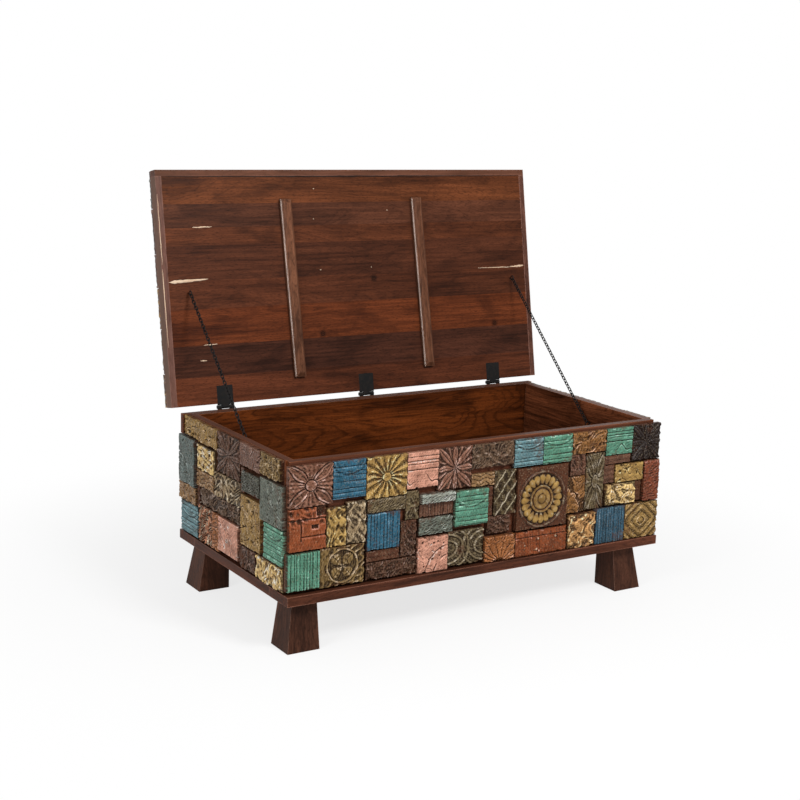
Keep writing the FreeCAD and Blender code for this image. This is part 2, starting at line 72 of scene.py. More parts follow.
# %% Camera
camera_place = Vector((-2.1247, -3.3150, 1.3240))
camera_turn = math.radians(32.263)
camera_dip = math.radians(11.756)
camera_roll = math.radians(1.811)
camera_lens = 66.08


def show(name, data):
    """A new object in the scene."""
    made = bpy.data.objects.new(name, data)
    bpy.context.collection.objects.link(made)
    return made


ahead = Vector((
    math.sin(camera_turn) * math.cos(camera_dip),
    math.cos(camera_turn) * math.cos(camera_dip),
    -math.sin(camera_dip),
))
level = Vector((math.cos(camera_turn), -math.sin(camera_turn), 0))
rise = level.cross(ahead)
sideways = level * math.cos(camera_roll) + rise * math.sin(camera_roll)
camera = show("camera", bpy.data.cameras.new("camera"))
camera.data.lens = camera_lens
camera.matrix_world = Matrix.Translation(camera_place) @ Matrix(
    (sideways, sideways.cross(ahead), -ahead)
).transposed().to_4x4()
bpy.context.scene.camera = camera
bpy.context.scene.view_settings.view_transform = "Standard"
print("camera", [round(value, 3) for value in camera_place], "lens", camera_lens)

# %% [markdown]
# Shader trees get long when every node is linked by hand. A few small helpers keep each finish
# readable. The first ones add a node and fill its sockets. The others blend colours, move a value to
# another range, do sums, make noise, and give a shader its colour and fine bumps.

# %% Helpers that add nodes
def srgb(red, green, blue):
    """A colour picked on a screen, as the linear values that a shader takes."""
    shares = [value / 255 for value in (red, green, blue)]
    linear = [share / 12.92 if share < 0.04 else ((share + 0.055) / 1.055) ** 2.4 for share in shares]
    return (*linear, 1.0)


def fill(tree, node, inputs):
    """Set a node's sockets to plain values, or link them to other nodes."""
    for name, value in inputs.items():
        if isinstance(value, bpy.types.NodeSocket):
            tree.links.new(value, node.inputs[name])
        else:
            node.inputs[name].default_value = value


def add(tree, kind, inputs=None, **settings):
    """A new shader node, with its settings and its sockets filled."""
    made = tree.nodes.new("ShaderNode" + kind)
    for name, value in settings.items():
        setattr(made, name, value)
    fill(tree, made, inputs or {})
    return made


def new_material(name):
    """An empty node material, with its tree and its main shader."""
    material = bpy.data.materials.new(name)
    material.use_nodes = True
    tree = material.node_tree
    return material, tree, tree.nodes["Principled BSDF"]


print("node helpers ready")

# %% Helpers for colours and values
def mix(tree, factor, first, second, blend="MIX"):
    """Two colours blended by a factor."""
    made = add(tree, "Mix", {0: factor, 6: first, 7: second}, data_type="RGBA", blend_type=blend)
    return made.outputs[2]


def span(tree, value, low, high, to_low=0.0, to_high=1.0):
    """A value moved from one range to another, and held inside it."""
    sockets = {"Value": value, "From Min": low, "From Max": high, "To Min": to_low, "To Max": to_high}
    return add(tree, "MapRange", sockets).outputs["Result"]


def sums(tree, operation, first, second=0.0):
    """One arithmetic step."""
    return add(tree, "Math", {0: first, 1: second}, operation=operation).outputs[0]


def plus(tree, first, second):
    """Two values added."""
    return sums(tree, "ADD", first, second)


def times(tree, first, second):
    """Two values multiplied."""
    return sums(tree, "MULTIPLY", first, second)


def measured(tree, operation, first, second=(0, 0, 0)):
    """One number from two places or directions."""
    return add(tree, "VectorMath", {0: first, 1: second}, operation=operation).outputs["Value"]


def noise(tree, place, scale, detail, **more):
    """Cloudy noise, with more sockets by name."""
    sockets = {"Vector": place, "Scale": scale, "Detail": detail, **more}
    return add(tree, "TexNoise", sockets).outputs[0]


def corner_shade_and_grime(tree, reach, low, share):
    """How much corners are darkened, found within a reach in millimetres: painted shade, and dirt with
    it.
    """
    shade = add(tree, "AmbientOcclusion", {"Distance": reach * MM}, samples=6).outputs["AO"]
    return span(tree, shade, 0.75, low, 0.0, share)


def surface(tree, shader, colour, height, strength, depth, roughness, shine):
    """Give a main shader its colour, fine bumps of a depth in millimetres, roughness and shine."""
    bump = add(tree, "Bump", {"Height": height, "Strength": strength, "Distance": depth * MM})
    fill(tree, shader, {"Base Color": colour, "Normal": bump.outputs[0],
                        "Roughness": roughness, "Specular IOR Level": shine})


print("colour and value helpers ready")

# %% [markdown]
# The studio is a pale floor that fades into white, two large soft lamps and an even sky. A white
# backdrop could be lit until it clips, but that would also bleach the trunk. Here the floor turns
# white only for the camera and for reflections, away from the trunk, and keeps the soft shadow.

# %% Floor
WHITE = (1, 1, 1, 1)
FLOOR_TONE = (0.93, 0.93, 0.93, 1)
FLOOR_HALF = 9.0
FLOOR_FADE = (0.5, 1.6)
FLOOR_GLOW = 0.76


def seen_rays(tree):
    """1 for rays from the camera and for reflections, 0 for light that falls on things."""
    path = add(tree, "LightPath").outputs
    seen = plus(tree, path["Is Camera Ray"], path["Is Glossy Ray"])
    seen = plus(tree, seen, path["Is Transmission Ray"])
    return sums(tree, "MINIMUM", seen, 1.0)


def make_floor():
    """A wide floor under the legs, white at a distance."""
    mesh = bpy.data.meshes.new("floor")
    half = FLOOR_HALF
    corners = [(-half, -half, 0), (half, -half, 0), (half, half, 0), (-half, half, 0)]
    mesh.from_pydata(corners, [], [(0, 1, 2, 3)])
    floor = show("floor", mesh)
    material, tree, shader = new_material("floor")
    away = measured(tree, "LENGTH", add(tree, "NewGeometry").outputs["Position"])
    fade = add(tree, "MapRange", {"Value": away, "From Min": FLOOR_FADE[0], "From Max": FLOOR_FADE[1]},
               interpolation_type="SMOOTHSTEP").outputs["Result"]
    fill(tree, shader, {"Base Color": FLOOR_TONE, "Roughness": 0.9, "Specular IOR Level": 0.1})
    white = add(tree, "Emission", {"Color": WHITE, "Strength": 1.0})
    glow = times(tree, span(tree, fade, 0.0, 1.0, FLOOR_GLOW, 1.0), seen_rays(tree))
    both = add(tree, "MixShader", {0: glow, 1: shader.outputs[0], 2: white.outputs[0]})
    fill(tree, tree.nodes["Material Output"], {"Surface": both.outputs[0]})
    mesh.materials.append(material)


make_floor()
print("a floor", 2 * FLOOR_HALF, "m wide")

# %% Sky and lamps
SKY_LIGHT = 0.36
TRUNK_MIDDLE = Vector((0, 0, 0.5))


def make_sky():
    """An even soft light from all round, white where it is seen."""
    world = bpy.data.worlds.new("studio")
    bpy.context.scene.world = world
    world.use_nodes = True
    tree = world.node_tree
    strength = span(tree, seen_rays(tree), 0.0, 1.0, SKY_LIGHT, 1.0)
    fill(tree, tree.nodes["Background"], {"Color": WHITE, "Strength": strength})


def make_lamp(name, place, size, power):
    """A square soft lamp that looks at the trunk's middle."""
    lamp = show(name, bpy.data.lights.new(name, "AREA"))
    lamp.data.size = size
    lamp.data.energy = power
    lamp.location = place
    lamp.rotation_euler = (TRUNK_MIDDLE - Vector(place)).to_track_quat("-Z", "Y").to_euler()


make_sky()
make_lamp("lamp_front", place=(0.4, -2.7, 2.7), size=0.9, power=84)
make_lamp("lamp_left", place=(-3.2, -1.3, 1.9), size=1.1, power=44)
print("sky and two lamps")

# %% [markdown]
# The trunk's wood is dark, waxed and reddish, with long streaks, pores and worn edges. An image
# would tie it to one size, so the grain is grown from noise that is stretched along the board. Each
# board gets its own cut of the noise, because no two boards come from the same tree. Edges are found
# by comparing the surface with a rounded one, and are rubbed paler.

# %% Grain, knots and wear of wood
ALONG_X = (0, 0, 0)
ALONG_Y = (0, 0, math.pi / 2)
ALONG_Z = (0, math.pi / 2, 0)
BOARD_SHIFT = (0.37, 0.19, 0.23)
STRETCH = {"broad": 7, "long": 28, "short": 2.2}
KNOT_EDGE = 13 * MM
KNOT_HEART = 6 * MM
KNOT_RINGS = 1400.0


def darker(tone, share):
    """A screen colour at a share of its strength, for a shader."""
    return srgb(*[value * share for value in tone])


def grain(tree, place, seed, turn):
    """Four kinds of noise along a board: soft clouds, long streaks, pores and short patches."""
    shift = tuple(seed * share for share in BOARD_SHIFT)
    drawn = {}
    for name, length in STRETCH.items():
        sockets = {"Vector": place, "Location": shift, "Rotation": turn, "Scale": (length, 1, 1)}
        drawn[name] = add(tree, "Mapping", sockets, vector_type="TEXTURE").outputs[0]
    cloud = noise(tree, drawn["broad"], 9.0, 4.0, Distortion=0.9)
    streak = noise(tree, drawn["long"], 120.0, 6.0, Roughness=0.68)
    pore = noise(tree, drawn["broad"], 700.0, 2.0)
    patch = noise(tree, drawn["short"], 13.0, 5.0, Distortion=0.6)
    return cloud, streak, pore, patch


def add_knot(tree, colour, place, knot, dark):
    """A dark heart with rings round it, at one point of a board."""
    away = measured(tree, "DISTANCE", place, tuple(knot))
    rings = sums(tree, "SINE", times(tree, away, KNOT_RINGS))
    ring = times(tree, span(tree, rings, -1.0, 1.0, 0.45, 1.0), span(tree, away, KNOT_EDGE, KNOT_HEART))
    return mix(tree, times(tree, ring, 0.95), colour, darker(dark, 0.35))


def tone_sides(tree, colour, edge, streak, sides):
    """Tone what looks in given directions. Each side is a direction, a tone, its share, and how near
    to the direction a surface or a worn edge has to look."""
    settings = {"vector_type": "NORMAL", "convert_from": "WORLD", "convert_to": "OBJECT"}
    turned = add(tree, "VectorTransform", {"Vector": edge}, **settings).outputs[0]
    for direction, tone, share, near in sides:
        toward = measured(tree, "DOT_PRODUCT", turned, tuple(direction))
        reach = span(tree, toward, near, 0.5 * near + 0.5, 0.0, share)
        strength = times(tree, reach, span(tree, streak, 0.3, 0.6, 0.5, 1.0))
        colour = mix(tree, strength, colour, srgb(*tone))
    return colour


def rub_edges(tree, colour, edge, streak, light, worn):
    """Rub the edges paler, where the surface turns away from a rounded one."""
    turn = measured(tree, "DOT_PRODUCT", edge, add(tree, "NewGeometry").outputs["Normal"])
    rub = times(tree, span(tree, turn, 0.99, 0.78, 0.0, worn), span(tree, streak, 0.35, 0.55))
    paler = [min(255, value * 1.1 + 42) for value in light]
    return mix(tree, rub, colour, srgb(*paler))


print("grain ready")

# %% Waxed wood
FIGURE_LINES = 130.0
FIGURE_WAVER = 6.0


def wood(name, dark, light, seed, turn=ALONG_X, worn=0.5, knots=(), figure=0.3, sides=(), rounding=4.0):
    """Waxed wood whose grain runs along X, or along another axis after a turn. Its worn edges are
    as wide as the rounding in millimetres."""
    material, tree, shader = new_material(name)
    place = add(tree, "TexCoord").outputs["Object"]
    cloud, streak, pore, patch = grain(tree, place, seed, turn)
    deep = darker(dark, 0.5)
    tone = plus(tree, span(tree, streak, 0.3, 0.7, 0.05, 0.7), span(tree, cloud, 0.3, 0.7, -0.15, 0.4))
    colour = mix(tree, tone, srgb(*dark), srgb(*light))
    bent = plus(tree, times(tree, cloud, FIGURE_LINES), times(tree, streak, FIGURE_WAVER))
    line = times(tree, span(tree, sums(tree, "SINE", bent), 0.3, 1.0, 0.0, figure), patch)
    colour = mix(tree, times(tree, line, 2.0), colour, deep)
    colour = mix(tree, span(tree, patch, 0.5, 0.72, 0.0, 0.6), colour, darker(dark, 0.8))
    colour = mix(tree, span(tree, pore, 0.54, 0.68, 0.0, 0.55), colour, deep)
    for knot in knots:
        colour = add_knot(tree, colour, place, knot, dark)
    edge = add(tree, "Bevel", {"Radius": rounding * MM}, samples=4).outputs[0]
    if sides:
        colour = tone_sides(tree, colour, edge, streak, sides)
    colour = rub_edges(tree, colour, edge, streak, light, worn)
    # Corners turn toward the deep tone: painted shade, and dirt.
    colour = mix(tree, corner_shade_and_grime(tree, 14, 0.3, 0.8), colour, deep)
    relief = plus(tree, streak, times(tree, pore, 0.6))
    surface(tree, shader, colour, relief, strength=0.4, depth=0.6,
            roughness=span(tree, streak, 0.3, 0.7, 0.3, 0.5), shine=0.05)
    return material


def dress(name, material, round_edge=0.8):
    """Give a carried-over node its finish and, where asked, slightly rounded edges in millimetres."""
    piece = nodes[name]
    piece.data.materials.clear()
    piece.data.materials.append(material)
    if round_edge:
        bevel = piece.modifiers.new("soft edges", "BEVEL")
        bevel.width = round_edge * MM
        bevel.segments = 2
        bevel.limit_method = "ANGLE"
        bevel.harden_normals = True


print("wood ready")

# %% [markdown]
# The box is plain inside: boards of the same dark wood, redder, shinier and more figured than the
# legs, which are scuffed. The rim shows the boards' top edges, which hands have rubbed dull.

# %% Box, base frame and legs
box_dark, box_light, right_painted_light = (46, 19, 8), (122, 61, 25), (152, 88, 56)
base_dark, base_light = (46, 25, 17), (106, 61, 43)
leg_dark, leg_light = (44, 26, 19), (94, 59, 44)
outer_tone, rim_tone = (112, 68, 50), (88, 61, 51)
SIDE_NEAR = 0.75
outsides = {"front_panel": (0, -1, 0), "back_panel": (0, 1, 0), "hinge_rail": (0, 1, 0),
            "left_panel": (-1, 0, 0), "right_panel": (1, 0, 0)}
for number, (name, outside) in enumerate(outsides.items(), 1):
    turn = ALONG_Y if outside[0] else ALONG_X
    sides = [(outside, outer_tone, 0.9, SIDE_NEAR), ((0, 0, 1), rim_tone, 1.0, SIDE_NEAR)]
    # The right panel takes a lighter tone: painted light, for the light that falls on its inside from
    # the left.
    light = right_painted_light if name == "right_panel" else box_light
    look = wood(name, box_dark, light, number, turn, worn=0.6, figure=0.45, sides=sides)
    dress(name, look, round_edge=1.2)
for number in range(1, 5):
    name = f"floor_board_{number}"
    dress(name, wood(name, box_dark, box_light, number + 6))
for number, side in enumerate(["front", "back", "left", "right"]):
    turn = ALONG_Y if side in ("left", "right") else ALONG_X
    name = "base_rail_" + side
    dress(name, wood(name, base_dark, base_light, number + 11, turn, worn=0.8), round_edge=2.0)
for number, corner in enumerate(["front_left", "front_right", "back_left", "back_right"]):
    name = "leg_" + corner
    dress(name, wood(name, leg_dark, leg_light, number + 15, ALONG_Z, worn=0.7), round_edge=2.5)
print("box, base frame and legs dressed")

# %% [markdown]
# The lid is eight planks edged with a lipping, and two battens across them. It was modelled shut and
# then turned open, so places on it are easiest to give in the shut position. The lid's frame is
# found from the joint: turning by its range shuts the lid.

# %% Shut and open places on the lid
hinge = next(joint for joint in frame["record"]["behaviour"]["joints"] if joint["name"] == "lid_hinge")
hinge_place = Vector(hinge["pos_m"])
shut_angle = math.radians(hinge["range_deg"][1])
to_shut = (
    Matrix.Translation(hinge_place)
    @ Matrix.Rotation(shut_angle, 4, "X")
    @ Matrix.Translation(-hinge_place)
)
to_open = to_shut.inverted()


def shut_box(name):
    """The lowest and highest corners of a lid node, with the lid shut."""
    points = np.array([to_shut @ vertex.co for vertex in nodes[name].data.vertices])
    return Vector(points.min(0)), Vector(points.max(0))


lid_front = shut_box("lid_lipping_front")[0].y
lid_left = shut_box("lid_lipping_left")[0].x
lid_under = shut_box("lid_plank_1")[0].z
lid_wide = -2 * lid_left
lid_out = (to_open.to_3x3() @ -Z).normalized()


def under_lid(across, back):
    """A point of the shut lid's underside, in millimetres from its left end and its front edge."""
    return Vector((lid_left + across * MM, lid_front + back * MM, lid_under))


print("lid's left front corner, shut:", [round(value, 4) for value in under_lid(0, 0)])

# %% [markdown]
# Each plank has its own tone, from a warm brown to a greyish one, and some have knots. The lipping
# and battens are the same wood, rubbed at the edges. A painted highlight, a near-white line, runs
# along each batten's left chamfer. The left lipping's underside is painted paler, as painted light
# from the left.

# %% Lid planks, lipping and battens
plank_tones = [
    ((54, 27, 15), (127, 71, 41)),
    ((45, 24, 16), (103, 60, 41)),
    ((47, 23, 14), (111, 61, 37)),
    ((44, 22, 14), (102, 57, 37)),
    ((46, 23, 14), (108, 59, 37)),
    ((52, 23, 12), (124, 63, 34)),
    ((42, 22, 15), (96, 55, 39)),
    ((46, 23, 14), (110, 59, 37)),
]
plank_knots = {5: [(650, 310)], 6: [(472, 460), (1065, 462)]}
lipping_dark, lipping_light = (52, 31, 25), (118, 78, 64)
batten_dark, batten_light, batten_highlight = (54, 32, 24), (130, 84, 60), (255, 238, 226)
for number, (dark, light) in enumerate(plank_tones, 1):
    name = f"lid_plank_{number}"
    knots = [to_open @ under_lid(*spot) for spot in plank_knots.get(number, [])]
    look = wood(name, dark, light, number + 20, worn=0.0, knots=knots, figure=0.25)
    dress(name, look, round_edge=0.7)
# Worn edges and side tones of the lipping. The left lipping's underside is painted paler, as painted
# light from the left, and its outer end is toned paler.
lipping_wear_and_tones = {
    "front": (0.3, [(lid_out, (112, 70, 48), 0.45, SIDE_NEAR)]),
    "right": (1.2, []),
    "left": (0.6, [(lid_out, (124, 90, 80), 0.5, SIDE_NEAR), (-X, (112, 84, 68), 0.7, SIDE_NEAR)]),
}
for number, (side, (worn_edges, sides)) in enumerate(lipping_wear_and_tones.items()):
    name = "lid_lipping_" + side
    turn = ALONG_X if side == "front" else ALONG_Z
    look = wood(name, lipping_dark, lipping_light, number + 30, turn, worn_edges, sides=sides)
    dress(name, look, round_edge=1.5)
# A painted highlight along the battens' left chamfers.
highlight_side = (0.41 * lid_out - X).normalized()
for number, side in enumerate(["left", "right"]):
    name = "batten_" + side
    look = wood(name, batten_dark, batten_light, number + 34, ALONG_Z, worn=0.25,
                sides=[(highlight_side, batten_highlight, 1.0, 0.935)], rounding=7.0)
    dress(name, look, round_edge=1.2)
print(len(plank_tones), "planks, a lipping and two battens dressed")

# %% [markdown]
# Old planks split along their joints, and raw pale wood shows there. A painted mask would have no
# edge, so each split is a thin sliver of wood with a ragged outline that lies on the plank.

# %% Raw wood and new pieces
def pale_wood():
    """Raw wood, dusty and straw-coloured."""
    material, tree, shader = new_material("raw_wood")
    place = add(tree, "TexCoord").outputs["Object"]
    sockets = {"Vector": place, "Scale": (6.0, 1.0, 1.0)}
    stretched = add(tree, "Mapping", sockets, vector_type="TEXTURE").outputs[0]
    fibre = noise(tree, stretched, 260.0, 4.0)
    colour = mix(tree, fibre, srgb(176, 128, 88), srgb(242, 222, 196))
    surface(tree, shader, colour, fibre, strength=0.5, depth=0.4, roughness=0.75, shine=0.5)
    return material


def set_piece(name, mesh, material, body, replaced=()):
    """Show a mesh that rides on a body and, where asked, stands for CAD nodes."""
    mesh.materials.append(material)
    piece = show(name, mesh)
    if body:
        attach(piece, body)
    if replaced:
        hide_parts(*replaced)
    return piece


def new_piece(name, vertices, faces, material, body, replaced=(), slot=None):
    """A smooth piece from points and faces."""
    mesh = bpy.data.meshes.new(name)
    mesh.from_pydata(vertices, [], faces)
    mesh.polygons.foreach_set("use_smooth", [True] * len(mesh.polygons))
    return set_piece(name, mesh, material, body, replaced)


raw_wood = pale_wood()
print("raw wood ready")

# %% Pale splits
def sliver(start, end, width, thickest, draw, steps=14, thick=0.35):
    """A ragged strip on the lid: its points and faces. Sizes are millimetres on the lid, and thickest
    is the share of the way at which the strip is widest."""
    start, end = np.array(start, float), np.array(end, float)
    sideways = np.array([start[1] - end[1], end[0] - start[0]]) / np.hypot(*(end - start))
    vertices = []
    faces = []
    for step in range(steps + 1):
        share = step / steps
        middle = start + (end - start) * share + sideways * draw.uniform(-0.6, 0.6)
        swell = min(share / thickest, (1 - share) / (1 - thickest)) ** 0.6
        half = 0.25 + 0.5 * width * swell * draw.uniform(0.6, 1.0)
        for side, drop in ((-half, 0), (half, 0), (half, thick), (-half, thick)):
            spot = under_lid(*(middle + sideways * side)) - Vector((0, 0, drop * MM))
            vertices.append(to_open @ spot)
    for step in range(steps):
        for edge in range(4):
            first, second = 4 * step + edge, 4 * step + (edge + 1) % 4
            faces.append((first, second, second + 4, first + 4))
    faces.append((3, 2, 1, 0))
    faces.append(tuple(4 * steps + corner for corner in range(4)))
    return vertices, faces


# Each split: its start and its end, its width, and where it is widest.
splits = [
    ((96, 154), (154, 153), 4, 0.4),
    ((18, 298), (132, 293), 11, 0.15),
    ((1016, 294), (1136, 295), 2.5, 0.7),
    ((1130, 294), (1186, 292), 7, 0.8),
    ((106, 470), (146, 469), 3, 0.5),
    ((92, 511), (112, 512), 3.5, 0.5),
]
flecks = [(470, 53), (707, 116), (464, 137), (476, 280), (642, 278), (398, 282)]
splits += [((across, back), (across + 4, back + 0.6), 1.6, 0.5) for across, back in flecks]
splits += [((2.5, 64), (3, 250), 2.0, 0.7), ((2.5, 262), (3, 470), 2.6, 0.3)]
for number, split in enumerate(splits, 1):
    made = sliver(*split, np.random.default_rng(number))
    new_piece(f"lid_split_{number}", *made, raw_wood, "lid", slot="lid_wood")
# A thin dark strip along the joint of the front lipping and the first plank: painted shade of a narrow
# gap, and dirt.
JOINT_INSET = 20
joint = (shut_box("lid_lipping_front")[1].y - lid_front) / MM + 1.5
joint_ends = ((JOINT_INSET, joint), (lid_wide / MM - JOINT_INSET, joint))
made = sliver(*joint_ends, 4, 0.5, np.random.default_rng(50), steps=60)
joint_shade_and_grime = wood("joint_shade_and_grime", (14, 8, 6), (26, 15, 11), 40)
new_piece("lid_joint_line", *made, joint_shade_and_grime, "lid", slot="lid_wood")
print(len(splits), "pale splits and a dark joint")

# %% [markdown]
# Hinges, screws, eyes and chains are plain iron that was blacked and handled. Their shine is broken
# by soot and a little rust. The hinges' shapes come with the frame and only need the finish.

# %% Black iron
def black_iron():
    """Blacked iron with rubbed and rusty spots."""
    material, tree, shader = new_material("black_iron")
    place = add(tree, "TexCoord").outputs["Object"]
    patch = noise(tree, place, 90.0, 5.0)
    grit = noise(tree, place, 900.0, 2.0)
    colour = mix(tree, span(tree, patch, 0.45, 0.7), srgb(9, 8, 8), srgb(26, 21, 18))
    surface(tree, shader, colour, grit, strength=0.25, depth=0.3,
            roughness=span(tree, patch, 0.3, 0.7, 0.42, 0.62), shine=0.15)
    return material


iron = black_iron()
iron_nodes = ["hinge_lid_leaves", "hinge_box_leaves", "hinge_lid_screws", "hinge_box_screws",
              "hinge_pins", "leg_screws"]
for name in iron_nodes:
    dress(name, iron, round_edge=0)
print(len(iron_nodes), "iron nodes dressed")

# %% [markdown]
# A chain is a row of closed oval links, each turned a quarter from the last. The frame has every
# link as a faceted solid, so the place and direction of each one are read from it, and a round wire
# is swept round an oval there. A swept curve with a bevel would also do; here each chain is one mesh.

# %% Solids inside a node
def solids(name):
    """The points of each separate solid in a node, as arrays."""
    grown = bmesh.new()
    grown.from_mesh(nodes[name].data)
    bmesh.ops.remove_doubles(grown, verts=grown.verts, dist=0.01 * MM)
    waiting = set(grown.verts)
    found = []
    while waiting:
        edge = [waiting.pop()]
        island = []
        while edge:
            vertex = edge.pop()
            island.append(vertex.co.copy())
            near = [joint.other_vert(vertex) for joint in vertex.link_edges]
            fresh = [other for other in near if other in waiting]
            waiting.difference_update(fresh)
            edge.extend(fresh)
        found.append(np.array(island))
    grown.free()
    return found


links = {side: solids("chain_" + side) for side in ("left", "right")}
print({side: len(found) for side, found in links.items()}, "links")

# %% Round wire
def wire(path, normal, thick, closed, sides=8):
    """A round wire along a flat path: its points and faces."""
    count = len(path)
    vertices = []
    for index, point in enumerate(path):
        before = path[index - 1] if closed or index else point
        after = path[(index + 1) % count] if closed or index < count - 1 else point
        outward = (after - before).normalized().cross(normal)
        for step in range(sides):
            angle = 2 * math.pi * step / sides
            vertices.append(point + (outward * math.cos(angle) + normal * math.sin(angle)) * thick / 2)
    faces = []
    for index in range(count if closed else count - 1):
        near, far = index * sides, (index + 1) % count * sides
        for step in range(sides):
            turn = (step + 1) % sides
            faces.append((near + step, near + turn, far + turn, far + step))
    if not closed:
        faces.append(tuple(range(sides))[::-1])
        faces.append(tuple((count - 1) * sides + step for step in range(sides)))
    return vertices, faces


def oval(centre, along, across, length, width, steps=20):
    """The middle line of a link: two half circles joined by straight sides."""
    bend = width / 2
    straight = length / 2 - bend
    path = []
    for step in range(steps):
        angle = 2 * math.pi * (step + 0.5) / steps
        side = straight if math.cos(angle) > 0 else -straight
        path.append(centre + along * (side + bend * math.cos(angle)) + across * bend * math.sin(angle))
    return path


print("wire ready")

# %% Chains
LINK_STOUT = 1.25
LINK_BROAD = 1.3


def make_chain(side):
    """One chain of round links, between the box and the lid."""
    found = links[side]
    centres = [Vector((island.min(0) + island.max(0)) / 2) for island in found]
    order = sorted(range(len(found)), key=lambda index: centres[index].z)
    along = (centres[order[-1]] - centres[order[0]]).normalized()
    upright = along.cross(X)
    vertices = []
    faces = []
    for index in order:
        points = found[index] - np.array(centres[index])
        length, wide_flat, wide_upright = [
            2 * np.abs(points @ np.array(way)).max() for way in (along, X, upright)]
        across, normal = (X, upright) if wide_flat > wide_upright else (upright, -X)
        thick = min(wide_flat, wide_upright)
        width = max(wide_flat, wide_upright)
        path = oval(centres[index], along, across, length - thick, (width - thick) * LINK_BROAD)
        ring, skin = wire(path, normal, thick * LINK_STOUT, True)
        faces += [tuple(len(vertices) + corner for corner in face) for face in skin]
        vertices += ring
    name = "chain_links_" + side
    chain = new_piece(name, vertices, faces, iron, None, ["chain_" + side], "black_iron")
    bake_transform(chain)
    return len(order), [round(size / MM, 2) for size in (length, width, thick)]


for side in links:
    count, link_sizes = make_chain(side)
    print(side, "chain:", count, "links of", link_sizes, "mm")

# %% [markdown]
# A screw eye is one bent wire: a screw that goes into the wood and a ring that the last link hangs
# in. One path for the whole wire keeps the neck smooth.

# %% Screw eyes
EYE_RING = 6.2 * MM
EYE_WIRE = 3.2 * MM
EYE_REACH = 11 * MM
EYE_SCREW = 8 * MM
EYE_STEPS = 25
EYE_STEP_TURN = 14


def screw_eye(foot, outward, normal):
    """A wire that leaves the wood, bends into a ring and nearly closes."""
    upward = normal.cross(outward)
    centre = foot + outward * EYE_REACH
    path = [foot - outward * EYE_SCREW, foot, foot + outward * (EYE_REACH - EYE_RING) * 0.7]
    for step in range(EYE_STEPS):
        angle = math.radians(180 - EYE_STEP_TURN * step)
        path.append(centre + (outward * math.cos(angle) + upward * math.sin(angle)) * EYE_RING)
    return wire(path, normal, EYE_WIRE, False)


wall = {"left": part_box("left_panel")[1].x, "right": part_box("right_panel")[0].x}
for side, inward in (("left", X), ("right", -X)):
    low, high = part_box("box_eye_" + side)
    foot = Vector((wall[side], (low.y + high.y) / 2, (low.z + high.z) / 2))
    made = screw_eye(foot, inward, Y)
    new_piece("box_screw_eye_" + side, *made, iron, "box", ["box_eye_" + side], "black_iron")
    low, high = shut_box("lid_eye_" + side)
    foot = to_open @ Vector(((low.x + high.x) / 2, (low.y + high.y) / 2, lid_under))
    made = screw_eye(foot, lid_out, X)
    new_piece("lid_screw_eye_" + side, *made, iron, "lid", ["lid_eye_" + side], "black_iron")
print("four screw eyes")

# %% [markdown]
# The cladding is what makes this trunk: blocks sawn from old doors and bed frames, each carved by
# hand and painted in its own colour. A flat picture would look printed, and sculpting 200 blocks by
# hand would take weeks, so the carving is a height field: for each motif one short function says how
# high the wood stands at each point of a block, from 0, cut deep, to 1, left standing.

# %% Carving tools
def rounded(away, width):
    """A rounded ridge: 1 on its line and 0 from its edge on."""
    return np.sqrt(np.clip(1 - (away / width) ** 2, 0, 1))


def ridge(away, width):
    """A sharp ridge: 1 on its line, falling straight to 0 at its edge."""
    return np.clip(1 - np.abs(away) / width, 0, 1)


def cut(away, width):
    """A gouge cut: 1 on its line, fading to both sides."""
    return np.exp(-(away / width) ** 2)


def smooth(value, low, high):
    """0 below low, 1 above high, and a soft step between."""
    share = np.clip((value - low) / (high - low), 0, 1)
    return share * share * (3 - 2 * share)


def wander(x, y, draw, size, count=6):
    """A smooth random field between about -1 and 1 with bumps of the given size."""
    total = np.zeros_like(x)
    for _ in range(count):
        angle = draw.uniform(0, 2 * np.pi)
        length = size * draw.uniform(0.6, 2.0)
        phase = draw.uniform(0, 2 * np.pi)
        total += np.sin(2 * np.pi * (x * np.cos(angle) + y * np.sin(angle)) / length + phase)
    return total / count * 1.8


def veins(x, y, draw, size):
    """Sharp wandering ridges, as a gouge leaves between its cuts."""
    return np.clip(1 - 1.3 * np.abs(wander(x, y, draw, size)), 0, 1)


def polar(u, v):
    """The angle, the share of the way to the block's border, and the plain radius."""
    angle = np.arctan2(v, u)
    radius = np.hypot(u, v)
    border = np.maximum(np.abs(u), np.abs(v))
    return angle, border, radius


def off_axis(angle, count, turn=0.0):
    """How far an angle is from the nearest of a ring of equal directions: 0 on one, 0.5 between."""
    share = (angle - turn) * count / (2 * np.pi)
    return np.abs(share - np.round(share))


print("carving tools ready")

# %% [markdown]
# Flowers and rosettes are the same all round their middle. One petal could be modelled and copied in
# a ring, but a block is rarely square. So each point asks how far its direction is from the nearest
# petal's, and the petals reach the border of a block of any shape.

# %% Motifs with petals and rays
def flower(u, v, half, draw):
    """Four hollow petals to the corners, fine rays between them and a plain boss."""
    angle, border, radius = polar(u, v)
    off = off_axis(angle, 4, np.pi / 4)
    width = 0.03 + 0.19 * np.sin(np.pi * np.clip(border, 0, 1) ** 0.9)
    petal = 1 - 0.55 * smooth(0.8 - off / width, 0, 0.45)
    rays = 0.35 + 0.35 * ridge(off_axis(angle, 24), 0.45) * smooth(border, 0.3, 0.45)
    rays = rays - 0.35 * cut(off - width - 0.03, 0.03)
    height = np.where(off < width, petal, rays)
    height = np.where(radius < 0.31, 0.05, height)
    return np.where(radius < 0.25, 0.8, height)


